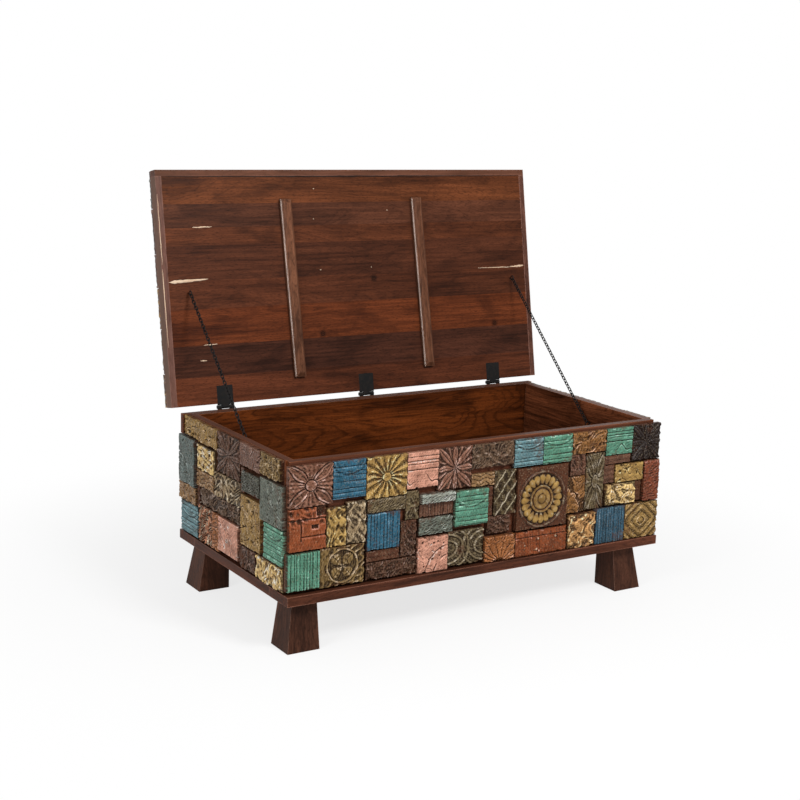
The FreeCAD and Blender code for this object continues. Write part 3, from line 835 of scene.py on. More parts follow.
def daisy(u, v, half, draw):
    """Many narrow petals with dark gaps round a dimpled boss."""
    angle, border, radius = polar(u, v)
    off = off_axis(angle, 16)
    petal = ridge(off, 0.2 + 0.26 * smooth(border, 0.15, 0.9)) * (0.65 + 0.35 * border)
    height = 0.14 + 0.86 * petal * smooth(radius, 0.16, 0.3)
    dimple = 0.8 - 0.3 * cut(radius, 0.07)
    return np.where(radius < 0.19, dimple, height)


def sunburst(u, v, half, draw):
    """Eight grooved leaves from the middle, with thin rays between."""
    angle, border = polar(u, v)[:2]
    off = off_axis(angle, 8)
    width = 0.08 + 0.3 * np.sin(np.pi * np.clip(border, 0, 1) ** 0.7)
    leaves = rounded(off, width) * (1 - 0.55 * cut(off, 0.05)) * (0.5 + 0.5 * border)
    rays = 0.6 * ridge(0.5 - off, 0.12) * smooth(border, 0.4, 0.7)
    return 0.05 + 0.95 * np.maximum(leaves, rays)


def fan(u, v, half, draw):
    """A shell of ribs that spreads from the foot, under a scalloped rim."""
    angle = np.arctan2(v + 1.15, u)
    radius = np.hypot(u, v + 1.15)
    ribs = rounded(off_axis(angle, 20), 0.5)
    rim = rounded(radius - 1.75 - 0.06 * np.cos(20 * angle), 0.13)
    return np.maximum(0.1 + 0.75 * ribs * smooth(radius, 0.2, 0.5), 0.9 * rim)


ROSETTE_SHIFT = (2, 5)
ROSETTE_SHARE = 0.8
ROSETTE_PETALS = 20
ROSETTE_CHANNEL = 0.57
ROSETTE_ROUND = 1.02
ROSETTE_RING = 1.12


def rosette_radius(x, y, half):
    """How far a point of the medallion is from its middle: 1 on the border of its round."""
    return np.hypot(x + ROSETTE_SHIFT[0], y + ROSETTE_SHIFT[1]) / (ROSETTE_SHARE * min(half))


def medallion(u, v, half, draw):
    """A rosette in a sunk round: a ring of domed petals, a dark channel, a ringed dome and a boss."""
    x, y = u * half[0], v * half[1]
    radius = rosette_radius(x, y, half)
    angle = np.arctan2(y + ROSETTE_SHIFT[1], x + ROSETTE_SHIFT[0])
    across = off_axis(angle, ROSETTE_PETALS) / (0.38 + 0.2 * smooth(radius, 0.6, 0.9))
    petal = rounded(np.hypot(across, (radius - 0.79) / 0.23), 1.0)
    petal = petal * (0.75 + 0.25 * smooth(radius, 0.65, 0.95))
    dome = 0.5 + 0.35 * rounded(radius, 0.6) - 0.45 * cut(radius - 0.44, 0.04)
    dome = dome - 0.4 * cut(radius - 0.2, 0.04) + 0.25 * rounded(radius, 0.12)
    inside = np.where(radius < 0.56, dome, petal * smooth(radius, ROSETTE_CHANNEL, 0.63))
    ground = 0.55 + 0.4 * rounded(radius - ROSETTE_RING, 0.05) - 0.4 * cut(radius - 1.04, 0.03)
    return np.where(radius < ROSETTE_ROUND, inside, ground)


print("petal motifs ready")

# %% [markdown]
# Reeds, mouldings and lattices repeat along a line. They could be modelled bar by bar, but one sum
# does as well: the way across the block is cut into equal steps, and each step gets the same rounded
# or grooved profile. Small shifts and uneven depths keep them from looking machine-made.

# %% Reeds and mouldings
def grooves(across, along, count, draw):
    """Reeds of uneven height with grooves of uneven depth between them."""
    share = (across + 1) / 2 * count
    share = share + 0.2 * np.sin(share * 1.7 + draw.uniform(0, 6))
    line = np.round(share)
    depth = 0.5 + 0.5 * np.sin(1.8 * along + 5.1 * line + draw.uniform(0, 6))
    crown = rounded(2 * (share - np.floor(share)) - 1, 1.25)
    level = 0.14 * np.sin(2.3 * np.floor(share) + draw.uniform(0, 6))
    return 0.4 + 0.45 * crown + level - 0.38 * depth * cut(share - line, 0.1)


def reeds_across(u, v, half, draw):
    """Lying reeds, with a shallow raised arc over them."""
    height = grooves(v, u, max(3, round(2 * half[1] / 13)), draw)
    arc = np.hypot(u * 0.8, v - draw.uniform(0.9, 1.3)) - 0.75
    return height + 0.3 * cut(arc, 0.05) - 0.25 * cut(arc - 0.13, 0.06)


def reeds_upright(u, v, half, draw):
    """Standing reeds."""
    return grooves(u, v, max(4, round(2 * half[0] / 9)), draw)


def mouldings(u, v, half, draw):
    """Stepped mouldings above a field with one faint bent cut."""
    height = 0.8 + 0.12 * np.sign(v - 0.1) * smooth(np.abs(v - 0.1), 0, 0.06)
    for level, depth in ((0.74, 0.3), (0.5, 0.5), (0.34, 0.3), (0.02, 0.5)):
        height = height - depth * cut((v - level) * half[1], 1.4)
    bent = v + 0.55 - 0.2 * np.sin(4.2 * u + 1.0) - 0.1 * np.sin(9 * u)
    faint = 0.3 + 0.3 * np.sin(3 * u + draw.uniform(0, 6))
    return height - faint * cut(bent * half[1], 1.8) * (v < -0.1)


print("reed motifs ready")

# %% Lattices, diamonds and crossed petals
def lattice(u, v, half, draw):
    """Thin slanting bars over a scored ground, crossed by fainter ones."""
    x, y = u * half[0], v * half[1]
    first = ((0.8 * x - 0.6 * y) / 24) % 1 - 0.5
    second = ((0.8 * x + 0.6 * y) / 24) % 1 - 0.5
    ground = 0.1 + 0.4 * ridge(first * second, 0.12)
    return np.maximum(np.maximum(rounded(first, 0.1), 0.55 * rounded(second, 0.1)), ground)


def diamond(u, v, half, draw):
    """Nested diamonds with soft corners round a boss."""
    reach = np.sqrt(u * u + 0.02) + np.sqrt(v * v + 0.02)
    bands = np.abs(((reach * 2.3) % 1) - 0.5) * 2
    return np.where(reach < 0.4, rounded(reach - 0.1, 0.3), 0.12 + 0.8 * bands)


def crossed(u, v, half, draw):
    """Four grooved petals inside a ring, with leafy corners."""
    x, y = u * half[0], v * half[1]
    radius = np.hypot(x, y) / (0.92 * min(half))
    off = off_axis(np.arctan2(y, x), 4, np.pi / 4)
    width = 0.04 + 0.36 * np.sin(np.pi * np.clip(radius / 0.86, 0, 1)) ** 0.8
    petal = rounded(off, width) * (1 - 0.5 * cut(off, 0.04)) * (0.8 + 0.2 * np.sin(30 * radius))
    height = np.where(radius < 0.84, 0.08 + 0.75 * petal, 0.1 + 0.6 * veins(x, y, draw, 20))
    height = height - 0.5 * cut(radius - 0.85, 0.03)
    return np.maximum(height, 0.95 * rounded(radius - 0.93, 0.06))


print("lattice motifs ready")

# %% Gouged, pitted and sawn faces
def gouged(u, v, half, draw):
    """Short lying gouge marks in uneven rows."""
    share = (v * half[1] + 3.0 * np.sin(u * half[0] / 6.0 + draw.uniform(0, 6))) / 11.0
    marks = 0.5 + 0.5 * np.sin(u * half[0] / 4.5 + 2.4 * np.floor(share))
    return 0.25 + 0.5 * rounded(2 * (share - np.floor(share)) - 1, 1.0) + 0.25 * marks


def pitted(u, v, half, draw):
    """A flat face with deep pits and a few scratches."""
    x, y = u * half[0], v * half[1]
    height = 0.8 + 0.12 * wander(x, y, draw, 20) - 0.4 * cut(wander(x, y, draw, 40), 0.08)
    for _ in range(int(half[0] * half[1] / 170) + 4):
        spot = draw.uniform(-0.9, 0.9, 2) * half
        away = np.hypot((x - spot[0]) * draw.uniform(0.5, 1.5), y - spot[1])
        height = height - 0.85 * cut(away, draw.uniform(2.0, 5.0))
    return height


def notched(u, v, half, draw):
    """A scuffed face with joiner's grooves and two sunk housings."""
    x, y = u * half[0], v * half[1]
    scuffed = smooth(v + 0.3 * wander(x, y, draw, 40), 0.1, 0.5)
    height = 0.8 - 0.7 * scuffed * np.abs(wander(x, y, draw, 18))
    height = height - 0.6 * cut(v - 0.45, 0.04)
    height = height - 0.6 * cut(u + 0.35, 0.04) * (np.abs(v + 0.05) < 0.5)
    height = height - 0.5 * cut(v + 0.35, 0.04) * (u > -0.35)
    for across, up, wide, tall in ((0.4, 0.08, 0.22, 0.12), (0.75, 0.85, 0.3, 0.3)):
        inside = np.minimum(wide - np.abs(u - across), tall - np.abs(v - up))
        height = height - 0.75 * smooth(inside, 0.0, 0.05)
    return height


def plain(u, v, half, draw):
    """A sawn face with lying streaks."""
    return 0.75 + 0.1 * np.sin(v * half[1] / 2.2 + 0.8 * wander(u, v, draw, 2.0))


print("gouged motifs ready")

# %% [markdown]
# Leaves, blossoms and weathered faces follow no ruler. Drawing each one would be truer, but they are
# only a few centimetres wide, so they grow from soft random waves: ridges where a wave crosses zero,
# lumps where it is high, and chips and pits at random spots.

# %% Leaves and blossoms
def acanthus(u, v, half, draw):
    """Two curled leaves that meet, with bold bent ribs and lobed borders."""
    height = 0.05 + 0 * u
    flip = draw.choice([-1, 1])
    for sign in (-1, 1):
        x, y = u - 0.95 * sign * flip, v - 1.05 * sign
        radius = np.hypot(x, y)
        angle = np.arctan2(y, x) + 0.8 * radius
        ribs = 0.3 + 0.7 * rounded(off_axis(angle, 11), 0.5)
        lobes = 1.3 + 0.2 * np.abs(np.sin(5.5 * angle))
        leaf = ribs * smooth(lobes - radius, 0.0, 0.15) * (0.45 + 0.55 * smooth(radius, 0.3, 1.2))
        height = np.maximum(height, leaf)
    return height


def blossoms(u, v, half, draw):
    """Curled petals and leaves with folds, over a deep ground that shows at the border."""
    x, y = u * half[0], v * half[1]
    bend = 6 * wander(x, y, draw, 50)
    lumps = smooth(wander(x + bend, y - bend, draw, 20, 12), -0.55, 0.35)
    folds = np.abs(np.sin((x - 0.6 * y + 2 * bend) / 4.5))
    inside = smooth(1.04 + 0.22 * wander(x, y, draw, 45) - np.maximum(np.abs(u), np.abs(v)), 0, 0.14)
    return (0.1 + 0.9 * lumps * (0.6 + 0.4 * folds)) * inside


def scrolls(u, v, half, draw):
    """Thin curled ridges that flow side by side."""
    x, y = u * half[0], v * half[1]
    flow = 3.0 * wander(x, y, draw, 75, 4) + 0.5 * wander(x, y, draw, 28)
    return 0.08 + 0.92 * ridge(np.sin(np.pi * flow), 0.75)


print("leaf motifs ready")

# %% Friezes, arcs and weathered faces
def flecked(u, v, half, draw):
    """A rough face with low lumps, a groove and a few bright chips of different sizes."""
    x, y = u * half[0], v * half[1]
    height = 0.5 + 0.14 * wander(x, y, draw, 16) - 0.4 * cut((v - 0.5) * half[1], 1.5)
    for _ in range(7):
        spot = draw.uniform(-0.85, 0.85, 2) * half
        away = np.hypot((x - spot[0]) * draw.uniform(0.6, 1.6), y - spot[1])
        away = away + 2.0 * wander(x, y, draw, 10)
        height = np.maximum(height, rounded(np.maximum(away, 0), draw.uniform(2.5, 6.5)))
    return height


def frieze(u, v, half, draw):
    """Leafy gouge work without a clear figure."""
    x, y = u * half[0], v * half[1]
    bend = 5.0 * wander(x, y, draw, 45)
    coarse = veins(x + bend, y - bend, draw, 38)
    fine = veins(x - bend, y + bend, draw, 17)
    return 0.08 + 0.75 * coarse + 0.3 * fine


def arcs(u, v, half, draw):
    """Thin raised arcs that cross in the middle."""
    x, y = u * half[0], v * half[1]
    height = 0.15 + 0.25 * veins(x, y, draw, 20)
    for centre in (-1.0, 1.0):
        radius = np.hypot(u - centre, v)
        for reach in (0.5, 0.85, 1.2):
            height = np.maximum(height, rounded(radius - reach, 0.07))
    return height


def incised(u, v, half, draw):
    """A smooth face with two broken curved cuts, cracks and small pits."""
    x, y = u * half[0], v * half[1]
    height = 0.82 + 0.08 * wander(x, y, draw, 30)
    corner = draw.choice([-1.3, 1.3], 2) * half
    for reach in (0.8, 1.15):
        away = np.hypot(x - corner[0], y - corner[1]) - reach * np.hypot(*half) * 1.1
        broken = smooth(wander(x, y, draw, 40), -0.6, 0.3)
        height = height - 0.6 * broken * cut(away, 2.2)
    crack = cut(wander(x, y, draw, 30), 0.07) * smooth(wander(x, y, draw, 30), 0.0, 0.6)
    height = height - 0.35 * crack
    for _ in range(int(half[0] * half[1] / 300) + 3):
        spot = draw.uniform(-0.9, 0.9, 2) * half
        height = height - 0.75 * cut(np.hypot(x - spot[0], y - spot[1]), draw.uniform(1.6, 3.8))
    return height


def worn(u, v, half, draw):
    """A weathered face with slanting scratches, rubbed round along its upper edge."""
    x, y = u * half[0], v * half[1]
    scratch = veins(x + 0.4 * y, 3.2 * y - x, draw, 26)
    height = 0.6 + 0.3 * scratch + 0.15 * wander(x, y, draw, 24)
    return height - 0.5 * smooth(v * half[1], half[1] - 6, half[1])


print("weathered motifs ready")

# %% [markdown]
# Old paint is never one colour: it is dark in the cuts, from dirt and from painted shade, thin on the
# ridges and chalky on the flats.
# The palette holds the colours on the ridges and flats by name. A second colour is for what was
# rubbed: gilding on the rosette, pale wood on a lattice.

# %% Palette
palette = {
    "rosewood": (124, 84, 66), "blue": (42, 90, 112), "gold": (166, 132, 72), "pink": (200, 144, 122),
    "brown": (96, 64, 48), "soot": (94, 72, 54), "tan": (134, 102, 66), "grey_blue": (92, 126, 132),
    "sea_green": (84, 135, 113), "honey": (130, 88, 44), "dark": (26, 14, 11), "brick": (138, 72, 40),
    "straw": (164, 132, 74), "sage": (146, 126, 96), "moss": (100, 86, 60), "pale": (142, 148, 138),
    "slate": (92, 98, 88), "umber": (80, 52, 36), "olive": (120, 96, 56), "apricot": (180, 134, 82),
    "cream": (208, 172, 113), "rust": (144, 88, 46), "mauve": (110, 78, 64), "khaki": (142, 112, 62),
    "terracotta": (178, 121, 90), "dusty_blue": (88, 100, 96), "deep_blue": (48, 82, 100),
    "gilt": (168, 134, 74), "bone": (204, 192, 164), "bark": (85, 51, 34), "russet": (118, 60, 38),
    "dark_slate": (64, 66, 56), "sawn": (98, 60, 45),
}
paint_of_slot = {
    "blue": ["blue", "grey_blue", "deep_blue", "dusty_blue"],
    "brown": ["brown", "umber", "rosewood", "bark"],
    "cream": ["cream", "apricot"],
    "ochre": ["gold", "straw", "honey", "tan"],
    "olive": ["olive", "moss", "sage", "khaki"],
    "pink": ["pink"],
    "red": ["brick", "rust", "terracotta"],
    "sea_green": ["sea_green"],
}
print(len(palette), "colours")

# %% [markdown]
# The blocks that show in the photograph each have their own motif and colour. They are named by
# where their middle lies on the face, in hundredths from its left edge and from its top.

# %% Looks of the front and left blocks
front_looks = [
    (6, 17, "flower", "rosewood"), (15, 15, "reeds_across", "blue"), (24, 17, "daisy", "gold"),
    (33, 15, "mouldings", "pink"), (41, 17, "sunburst", "rosewood"), (51, 11, "frieze", "soot"),
    (49, 30, "gouged", "tan"), (61, 12, "reeds_across", "grey_blue"),
    (69, 12, "reeds_across", "sea_green"), (79, 10, "frieze", "honey"),
    (88, 12, "mouldings", "sea_green"), (96, 16, "sunburst", "dark"),
    (5, 50, "notched", "brick"), (12, 51, "blossoms", "straw"), (17, 50, "blossoms", "sage"),
    (24, 39, "worn", "moss"), (23, 60, "reeds_upright", "blue"), (31, 43, "frieze", "moss"),
    (30, 70, "frieze", "umber"), (37, 39, "worn", "pale"), (37, 49, "reeds_upright", "brown"),
    (37, 62, "worn", "slate"), (46, 51, "reeds_across", "sea_green"), (51, 49, "plain", "bark"),
    (55, 43, "lattice", "moss"), (54, 69, "frieze", "umber"), (65, 51, "medallion", "bark"),
    (76, 29, "frieze", "brown"), (75, 54, "acanthus", "honey"), (81, 44, "flower", "moss"),
    (87, 28, "plain", "brown"), (85, 40, "plain", "brown"), (91, 41, "pitted", "straw"),
    (88, 58, "blossoms", "cream"), (94, 58, "plain", "bark"), (97, 50, "worn", "russet"),
    (4, 82, "reeds_upright", "sea_green"), (14, 83, "crossed", "olive"), (24, 80, "plain", "bark"),
    (26, 92, "frieze", "umber"), (36, 85, "incised", "pink"), (45, 84, "arcs", "moss"),
    (54, 89, "fan", "rust"), (66, 89, "flecked", "brick"), (77, 85, "blossoms", "apricot"),
    (85, 84, "reeds_upright", "deep_blue"), (95, 84, "diamond", "khaki"),
]
left_looks = [
    (8, 6, "pitted", "khaki"), (26, 7, "pitted", "khaki"), (47, 15, "sunburst", "umber"),
    (68, 7, "incised", "mauve"), (86, 7, "frieze", "olive"), (5, 35, "incised", "dusty_blue"),
    (24, 28, "blossoms", "cream"), (23, 45, "gouged", "tan"), (46, 42, "scrolls", "sage"),
    (61, 28, "plain", "brown"), (71, 27, "worn", "dark_slate"), (90, 34, "incised", "slate"),
    (91, 65, "reeds_across", "sea_green"), (70, 60, "pitted", "khaki"), (4, 64, "pitted", "tan"),
    (15, 62, "plain", "bark"), (37, 60, "scrolls", "soot"), (6, 86, "reeds_across", "grey_blue"),
    (23, 84, "scrolls", "terracotta"), (34, 83, "gouged", "rust"), (48, 82, "incised", "pink"),
    (66, 90, "frieze", "umber"), (88, 90, "blossoms", "cream"),
]
motif_rub = {"medallion": "gilt", "lattice": "bone", "flecked": "bone"}
other_motifs = ["flower", "acanthus", "reeds_upright", "diamond", "blossoms", "daisy", "frieze",
                "crossed", "reeds_across", "arcs", "lattice", "fan", "gouged", "sunburst", "pitted",
                "incised"]
print(len(front_looks), "front looks and", len(left_looks), "left looks")

# %% [markdown]
# The frame holds each paint's blocks as one node of many solids. Each solid is split off, set
# against the face that carries it, and measured there. Blocks of the lid's top are measured with the
# lid shut. Faces out of the photograph's sight take motifs in turn.

# %% Faces that carry the blocks
front_panel_low, front_panel_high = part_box("front_panel")
back_panel_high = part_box("back_panel")[1]
left_panel_low, right_panel_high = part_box("left_panel")[0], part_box("right_panel")[1]
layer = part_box("hinge_rail")[1].y - back_panel_high.y
clad_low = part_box("base_rail_front")[1].z
clad_tall = front_panel_high.z - clad_low
box_wide = right_panel_high.x - left_panel_low.x
box_depth = back_panel_high.y - front_panel_low.y
lid_high = shut_box("lid_lipping_left")[1]

# Each face: its left foot corner, the way across, the way up, the way out, its width and its height.
faces_of_trunk = {
    "front": (Vector((left_panel_low.x - layer, front_panel_low.y, clad_low)), X, Z, -Y,
              box_wide + 2 * layer, clad_tall),
    "back": (Vector((right_panel_high.x, back_panel_high.y, clad_low)), -X, Z, Y, box_wide, clad_tall),
    "left": (Vector((left_panel_low.x, back_panel_high.y, clad_low)), -Y, Z, -X, box_depth, clad_tall),
    "right": (Vector((right_panel_high.x, front_panel_low.y, clad_low)), Y, Z, X, box_depth, clad_tall),
    "top": (Vector((lid_left, lid_front, lid_high.z)), X, Y, Z, lid_wide, lid_high.y - lid_front),
}


def face_of(points, node):
    """The face of the trunk that a block sits on."""
    if node.startswith("lid"):
        return "top"
    slack = 0.1 * MM
    if points[:, 1].max() < front_panel_low.y + slack:
        return "front"
    if points[:, 1].min() > back_panel_high.y - slack:
        return "back"
    return "left" if points[:, 0].max() < 0 else "right"


def measure(points, face):
    """A block's left, right, foot, head and depth on its face, in millimetres."""
    corner, across, up, out = faces_of_trunk[face][:4]
    local = (points - np.array(corner)) @ np.array([across, up, out]).T / MM
    low, high = local.min(0), local.max(0)
    return low[0], high[0], low[1], high[1], high[2]


paints = sorted(paint_of_slot)
blocks = []
for paint in paints:
    for node in (f"box_tiles_{paint}", f"lid_tiles_{paint}"):
        for points in solids(node):
            if node.startswith("lid"):
                points = np.array([to_shut @ Vector(point) for point in points])
            face = face_of(points, node)
            sizes = [round(float(size), 3) for size in measure(points, face)]
            blocks.append((face, *sizes, paint, node))
blocks.sort()
face_counts = {face: sum(block[0] == face for block in blocks) for face in faces_of_trunk}
print(len(blocks), "blocks:", face_counts)

# %% Motif and colours of each block
carvings = [
    flower, daisy, sunburst, fan, medallion, reeds_across, reeds_upright, mouldings, lattice, diamond,
    crossed, gouged, pitted, notched, plain, acanthus, blossoms, scrolls, flecked, frieze, arcs, incised,
    worn,
]
motifs = {made.__name__: made for made in carvings}
SMALL_BLOCK = 34
MOTIF_STRIDE = 7


def look_of(block, index):
    """The motif and the colour of a block."""
    face, left, right, low, high = block[:5]
    wide, tall = faces_of_trunk[face][4] / MM, faces_of_trunk[face][5] / MM
    place = (50 * (left + right) / wide, 100 - 50 * (low + high) / tall)
    known = {"front": front_looks, "left": left_looks}.get(face)
    if known:
        row = min(known, key=lambda row: math.hypot(row[0] - place[0], row[1] - place[1]))
        return row[2], row[3]
    shades = paint_of_slot[block[6]]
    motif = other_motifs[index * MOTIF_STRIDE % len(other_motifs)]
    if min(right - left, high - low) < SMALL_BLOCK:
        motif = "frieze" if index % 2 else "plain"
    return motif, shades[index % len(shades)]


looks = [look_of(block, index) for index, block in enumerate(blocks)]
print({motif: sum(look[0] == motif for look in looks) for motif in motifs})

# %% [markdown]
# A block becomes a closed mesh: a fine grid for the carved face, walls round it and a flat back on
# the panel. The grid is a little warped and its border a little ragged, because a chisel and a saw
# made it. Each point also keeps a colour: dark in the cuts, as painted shade and dirt, the paint on
# the flats, paler where ridges are rubbed, and painted light: slopes that face up lighter, slopes
# that face down darker, and painted highlights on some ridges.

# %% Colours on the carving
# The dark tone of the cuts, painted shade and dirt, and how much slopes that face down are darkened.
CUT_SHADE_AND_GRIME = (42, 25, 16)
SLOPE_SHADE = 2.3
# How much painted highlights are strengthened, and on which motifs.
GLEAM_GAIN = 1.6
bone_topped = ("lattice", "flecked")
gleaming = ("flower", "daisy", "acanthus", "crossed")


def tint(look, height, crest_and_slope_shading, mottle, gleam, away):
    """Colours on the carved face: dark cuts, as dirt and painted shade, uneven paint on the flats, paler
    rubbed ridges, and painted light: shading on the slopes and highlights on some ridges."""
    motif, shade = look
    paint = np.array(srgb(*palette[shade]))
    shade_and_grime = paint * 0.08 + np.array(srgb(*CUT_SHADE_AND_GRIME)) * 0.5
    rub = motif_rub.get(motif)
    rubbed = np.array(srgb(*palette[rub])) if rub else np.clip(paint * 1.7 + 0.05, 0, 1)
    # Painted highlights: a pale tint laid on ridges in random patches.
    painted_glint = np.clip(paint * 2 + 0.7 * np.sqrt(paint[:3].mean()), 0, 0.85)
    # Cuts, and slopes that face down, turn toward a dark tone: painted shade, and dirt in the cuts.
    clear_of_shade_and_grime = smooth(height, 0.05, 0.55) * np.clip(1 + SLOPE_SHADE * np.minimum(crest_and_slope_shading, 0), 0, 1)
    colours = shade_and_grime + (paint * mottle[..., None] - shade_and_grime) * clear_of_shade_and_grime[..., None]
    # Ridges turn paler where rubbed; slopes that face up turn paler too, as painted light.
    share = np.clip(crest_and_slope_shading, 0, 1) * 0.85
    bright = smooth(crest_and_slope_shading, 0.3, 0.9) * gleam
    if motif in bone_topped:
        share = smooth(height, 0.75, 0.95) * 0.85
    if motif in gleaming:
        bright = np.minimum(GLEAM_GAIN * bright, 1)
    # Painted highlights along the flower's petal rims.
    if motif == "flower":
        bright = np.maximum(bright, 0.7 * gleam * smooth(height, 0.72, 0.86))
    if motif == "medallion":
        dome = away < ROSETTE_CHANNEL
        gilded = np.where(dome, smooth(height, 0.35, 0.8), smooth(height, 0.1, 0.55))
        gilded = smooth(ROSETTE_ROUND - away, 0, 0.03) * gilded
        share = gilded * np.where(dome, 0.7, 0.45 + 0.55 * smooth(away, 0.62, 0.9))
        # Painted highlights on the rosette's outer ring and petals, in a pale bone tint.
        ring = 0.35 * smooth(mottle, 0.95, 1.1) * cut(away - ROSETTE_RING, 0.02)
        bright = np.maximum(0.7 * bright, ring)
        bright = np.maximum(bright, 0.45 * gleam * smooth(height, 0.7, 0.95) * (away < 1))
        painted_glint = np.array(srgb(*palette["bone"]))
    colours = colours + (rubbed - colours) * share[..., None]
    colours = colours + (painted_glint - colours) * bright[..., None]
    colours[..., 3] = 1
    return colours


print("tints ready")

# %% Carve one block
FIRST_SEED = 1000
FINE_STEP = 1.4
COARSE_STEP = 3.2
RELIEF = 7.0
BENT_EVEN, BENT_FREE = 0.5, 1.5
ROUGH_EVEN, ROUGH_FREE = 0.1, 0.15
RAGGED = 0.5
CREST_GAIN = 6
SLOPE_LIGHT_GAIN = 1.2
LEFT_RUB_AND_GLINT = 1.7
even_motifs = ("reeds_across", "reeds_upright", "mouldings", "plain", "pitted", "notched", "incised",
               "worn", "medallion", "flecked")


def soften(height):
    """Each point's height averaged with its neighbours, three times over."""
    for _ in range(3):
        padded = np.pad(height, 1, mode="edge")
        height = (
            padded[:-2, 1:-1] + padded[2:, 1:-1] + padded[1:-1, :-2] + padded[1:-1, 2:] + height
        ) / 5
    return height


def carve(block, look, index):
    """The carved points of a block in face millimetres, their colours and wear, and the grid's size."""
    face, left, right, low, high, depth = block[:6]
    even = look[0] in even_motifs
    draw = np.random.default_rng(FIRST_SEED + index)
    half = ((right - left) / 2, (high - low) / 2)
    step = FINE_STEP if face in ("front", "left") else COARSE_STEP
    columns, rows = [max(4, round(2 * size / step)) for size in half]
    u, v = np.meshgrid(np.linspace(-1, 1, columns + 1), np.linspace(-1, 1, rows + 1))
    x, y = u * half[0], v * half[1]
    bend = (BENT_EVEN if even else BENT_FREE) / min(half)
    bent_u = u + bend * wander(x, y, draw, 36) * (1 - u * u)
    bent_v = v + bend * wander(x, y, draw, 36) * (1 - v * v)
    height = motifs[look[0]](bent_u, bent_v, half, draw)
    rough = ROUGH_EVEN if even else ROUGH_FREE
    height = height * (1 - rough) + rough * (veins(x, y, draw, 12) + 0.5 * wander(x, y, draw, 7))
    border = np.minimum(half[0] - np.abs(x), half[1] - np.abs(y))
    chip = smooth(wander(x, y, draw, 22), 0.5, 1.0)
    height = height - (0.1 + 0.6 * chip) * (1 - smooth(border, 0, 1.5 + 3 * chip))
    height = np.clip(height, 0, 1)
    out = depth - min(RELIEF, 0.5 * depth) * (1 - height)
    ragged = RAGGED * smooth(3 - border, 0, 3)
    x = x - np.sign(x) * ragged * np.abs(wander(x, y, draw, 16))
    y = y - np.sign(y) * ragged * np.abs(wander(x, y, draw, 16))
    # Ridges stand out against a softened copy of the carving, as wear; the slope term is painted light,
    # paler where the carving faces up and darker where it faces down.
    crest_and_slope_shading = (height - soften(height)) * CREST_GAIN - SLOPE_LIGHT_GAIN * np.gradient(height, axis=0)
    # On the left end, paler ridges and painted highlights are made stronger.
    crest_and_slope_shading = np.where(crest_and_slope_shading > 0, crest_and_slope_shading * (LEFT_RUB_AND_GLINT if face == "left" else 1.0), crest_and_slope_shading)
    patches = smooth(wander(x, y, draw, 70) + 0.5 * smooth(8 - border, 0, 8), 0.2, 1.2)
    mottle = 1 + 0.14 * wander(x, y, draw, 40)
    # Random patches where painted highlights show.
    gleam = smooth(wander(x, y, draw, 24), -0.1, 0.5)
    colours = tint(look, height, crest_and_slope_shading, mottle, gleam, rosette_radius(x, y, half))
    front = np.stack([x + (left + right) / 2, y + (low + high) / 2, out], -1).reshape(-1, 3)
    return front, colours.reshape(-1, 4), patches.reshape(-1), columns, rows


sample = carve(blocks[0], looks[0], 0)
print("first block:", len(sample[0]), "carved points")

# %% Join the blocks of one node
def block_faces(columns, rows):
    """Corner lists for the carved grid, the walls and the back of one block."""
    grid = np.arange((columns + 1) * (rows + 1)).reshape(rows + 1, columns + 1)
    top = np.stack([grid[:-1, :-1], grid[:-1, 1:], grid[1:, 1:], grid[1:, :-1]], -1).reshape(-1, 4)
    rim = np.concatenate([grid[0, :-1], grid[:-1, -1], grid[-1, :0:-1], grid[:0:-1, 0]])
    foot = np.arange(len(rim)) + grid.size
    walls = np.stack([rim, foot, np.roll(foot, -1), np.roll(rim, -1)], -1)
    return top, rim, walls, foot[::-1]


def join_blocks(node):
    """All carved blocks of one CAD node in one mesh."""
    points, colours, wear, corners, sizes = [], [], [], [], []
    count = 0
    for index, (block, look) in enumerate(zip(blocks, looks)):
        if block[-1] != node:
            continue
        front, tints, rubs, columns, rows = carve(block, look, index)
        top, rim, walls, back = block_faces(columns, rows)
        foot = front[rim] * (1, 1, 0)
        corner, across, up, out = [np.array(part) for part in faces_of_trunk[block[0]][:4]]
        local = np.concatenate([front, foot]) * MM
        points.append(corner + local @ np.array([across, up, out]))
        colours.append(np.concatenate([tints, np.tile(srgb(*palette["sawn"]), (len(rim), 1))]))
        wear.append(np.concatenate([rubs, rubs[rim] * 0]))
        corners += [(top + count).ravel(), (walls + count).ravel(), back + count]
        sizes += [np.full(len(top) + len(walls), 4), [len(back)]]
        count += len(local)
    points = np.concatenate(points)
    if node.startswith("lid"):
        points = np.array([to_open @ Vector(point) for point in points])
    return (points, *[np.concatenate(parts) for parts in (colours, wear, corners, sizes)])


SHARP_ANGLE = math.radians(55)


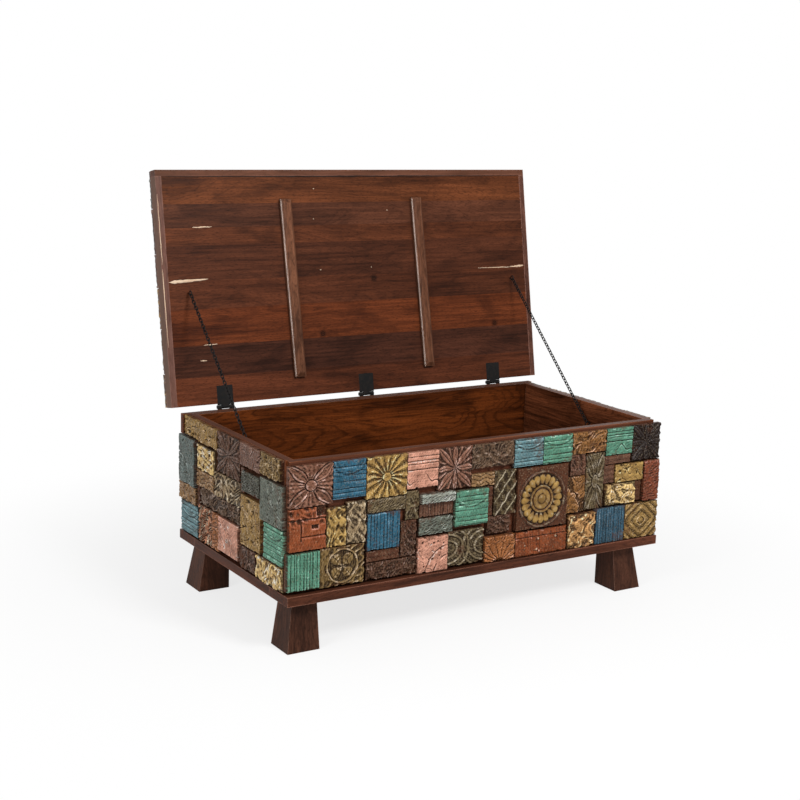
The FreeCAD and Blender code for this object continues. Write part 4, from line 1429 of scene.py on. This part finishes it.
def carved_piece(name, node, material, body):
    """A mesh object for one node's blocks, with colour and wear kept on its points."""
    points, colours, wear, corners, sizes = join_blocks(node)
    mesh = bpy.data.meshes.new(name)
    mesh.vertices.add(len(points))
    mesh.vertices.foreach_set("co", points.astype(np.float32).ravel())
    mesh.loops.add(len(corners))
    mesh.loops.foreach_set("vertex_index", corners.astype(np.int32))
    mesh.polygons.add(len(sizes))
    starts = np.concatenate([[0], np.cumsum(sizes)[:-1]])
    mesh.polygons.foreach_set("loop_start", starts.astype(np.int32))
    mesh.update(calc_edges=True)
    for kept, kind, part, values in (
        ("paint", "FLOAT_COLOR", "color", colours),
        ("wear", "FLOAT", "value", wear),
    ):
        on_points = mesh.attributes.new(kept, kind, "POINT")
        on_points.data.foreach_set(part, values.astype(np.float32).ravel())
    mesh.polygons.foreach_set("use_smooth", [True] * len(sizes))
    mesh.set_sharp_from_angle(angle=SHARP_ANGLE)
    set_piece(name, mesh, material, body, [node])
    return len(sizes)


print("joining ready")

# %% [markdown]
# One finish serves all the blocks, with a copy for each paint: the colour comes from the mesh, and
# noise fades it, flakes it down to the wood and breaks up its low shine. Corners and cuts are
# darkened, as painted shade and dirt.

# %% Old paint on carved wood
def old_paint(name):
    """Waxed old paint over wood, bare in patches, with painted shade and dirt in the corners."""
    material, tree, shader = new_material(name)
    place = add(tree, "TexCoord").outputs["Object"]
    colour = add(tree, "Attribute", attribute_name="paint").outputs["Color"]
    wear = add(tree, "Attribute", attribute_name="wear").outputs["Fac"]
    cloud = noise(tree, place, 45.0, 4.0)
    speck = noise(tree, place, 260.0, 4.0, Roughness=0.65)
    flake = noise(tree, place, 80.0, 6.0, Distortion=0.8)
    faded = mix(tree, span(tree, cloud, 0.35, 0.7, 0.0, 0.5), colour, srgb(120, 96, 76), "MULTIPLY")
    chalky = mix(tree, span(tree, speck, 0.56, 0.74, 0.0, 0.3), faded, srgb(214, 190, 156))
    bare = span(tree, plus(tree, flake, times(tree, wear, 0.22)), 0.62, 0.76, 0.0, 0.5)
    bared = mix(tree, bare, chalky, srgb(84, 50, 33))
    # Painted shade, and dirt, in corners and cuts.
    shaded_and_grimy = mix(tree, corner_shade_and_grime(tree, 9, 0.25, 0.6), bared, srgb(34, 19, 12))
    relief = plus(tree, speck, times(tree, flake, 0.8))
    surface(tree, shader, shaded_and_grimy, relief, strength=0.5, depth=0.8,
            roughness=span(tree, flake, 0.3, 0.7, 0.18, 0.4), shine=0.07)
    return material


for paint in paints:
    finish = old_paint("old_paint_" + paint)
    for body in ("box", "lid"):
        name, node = f"{body}_carving_{paint}", f"{body}_tiles_{paint}"
        count = carved_piece(name, node, finish, body)
        print(body, paint, count, "faces")
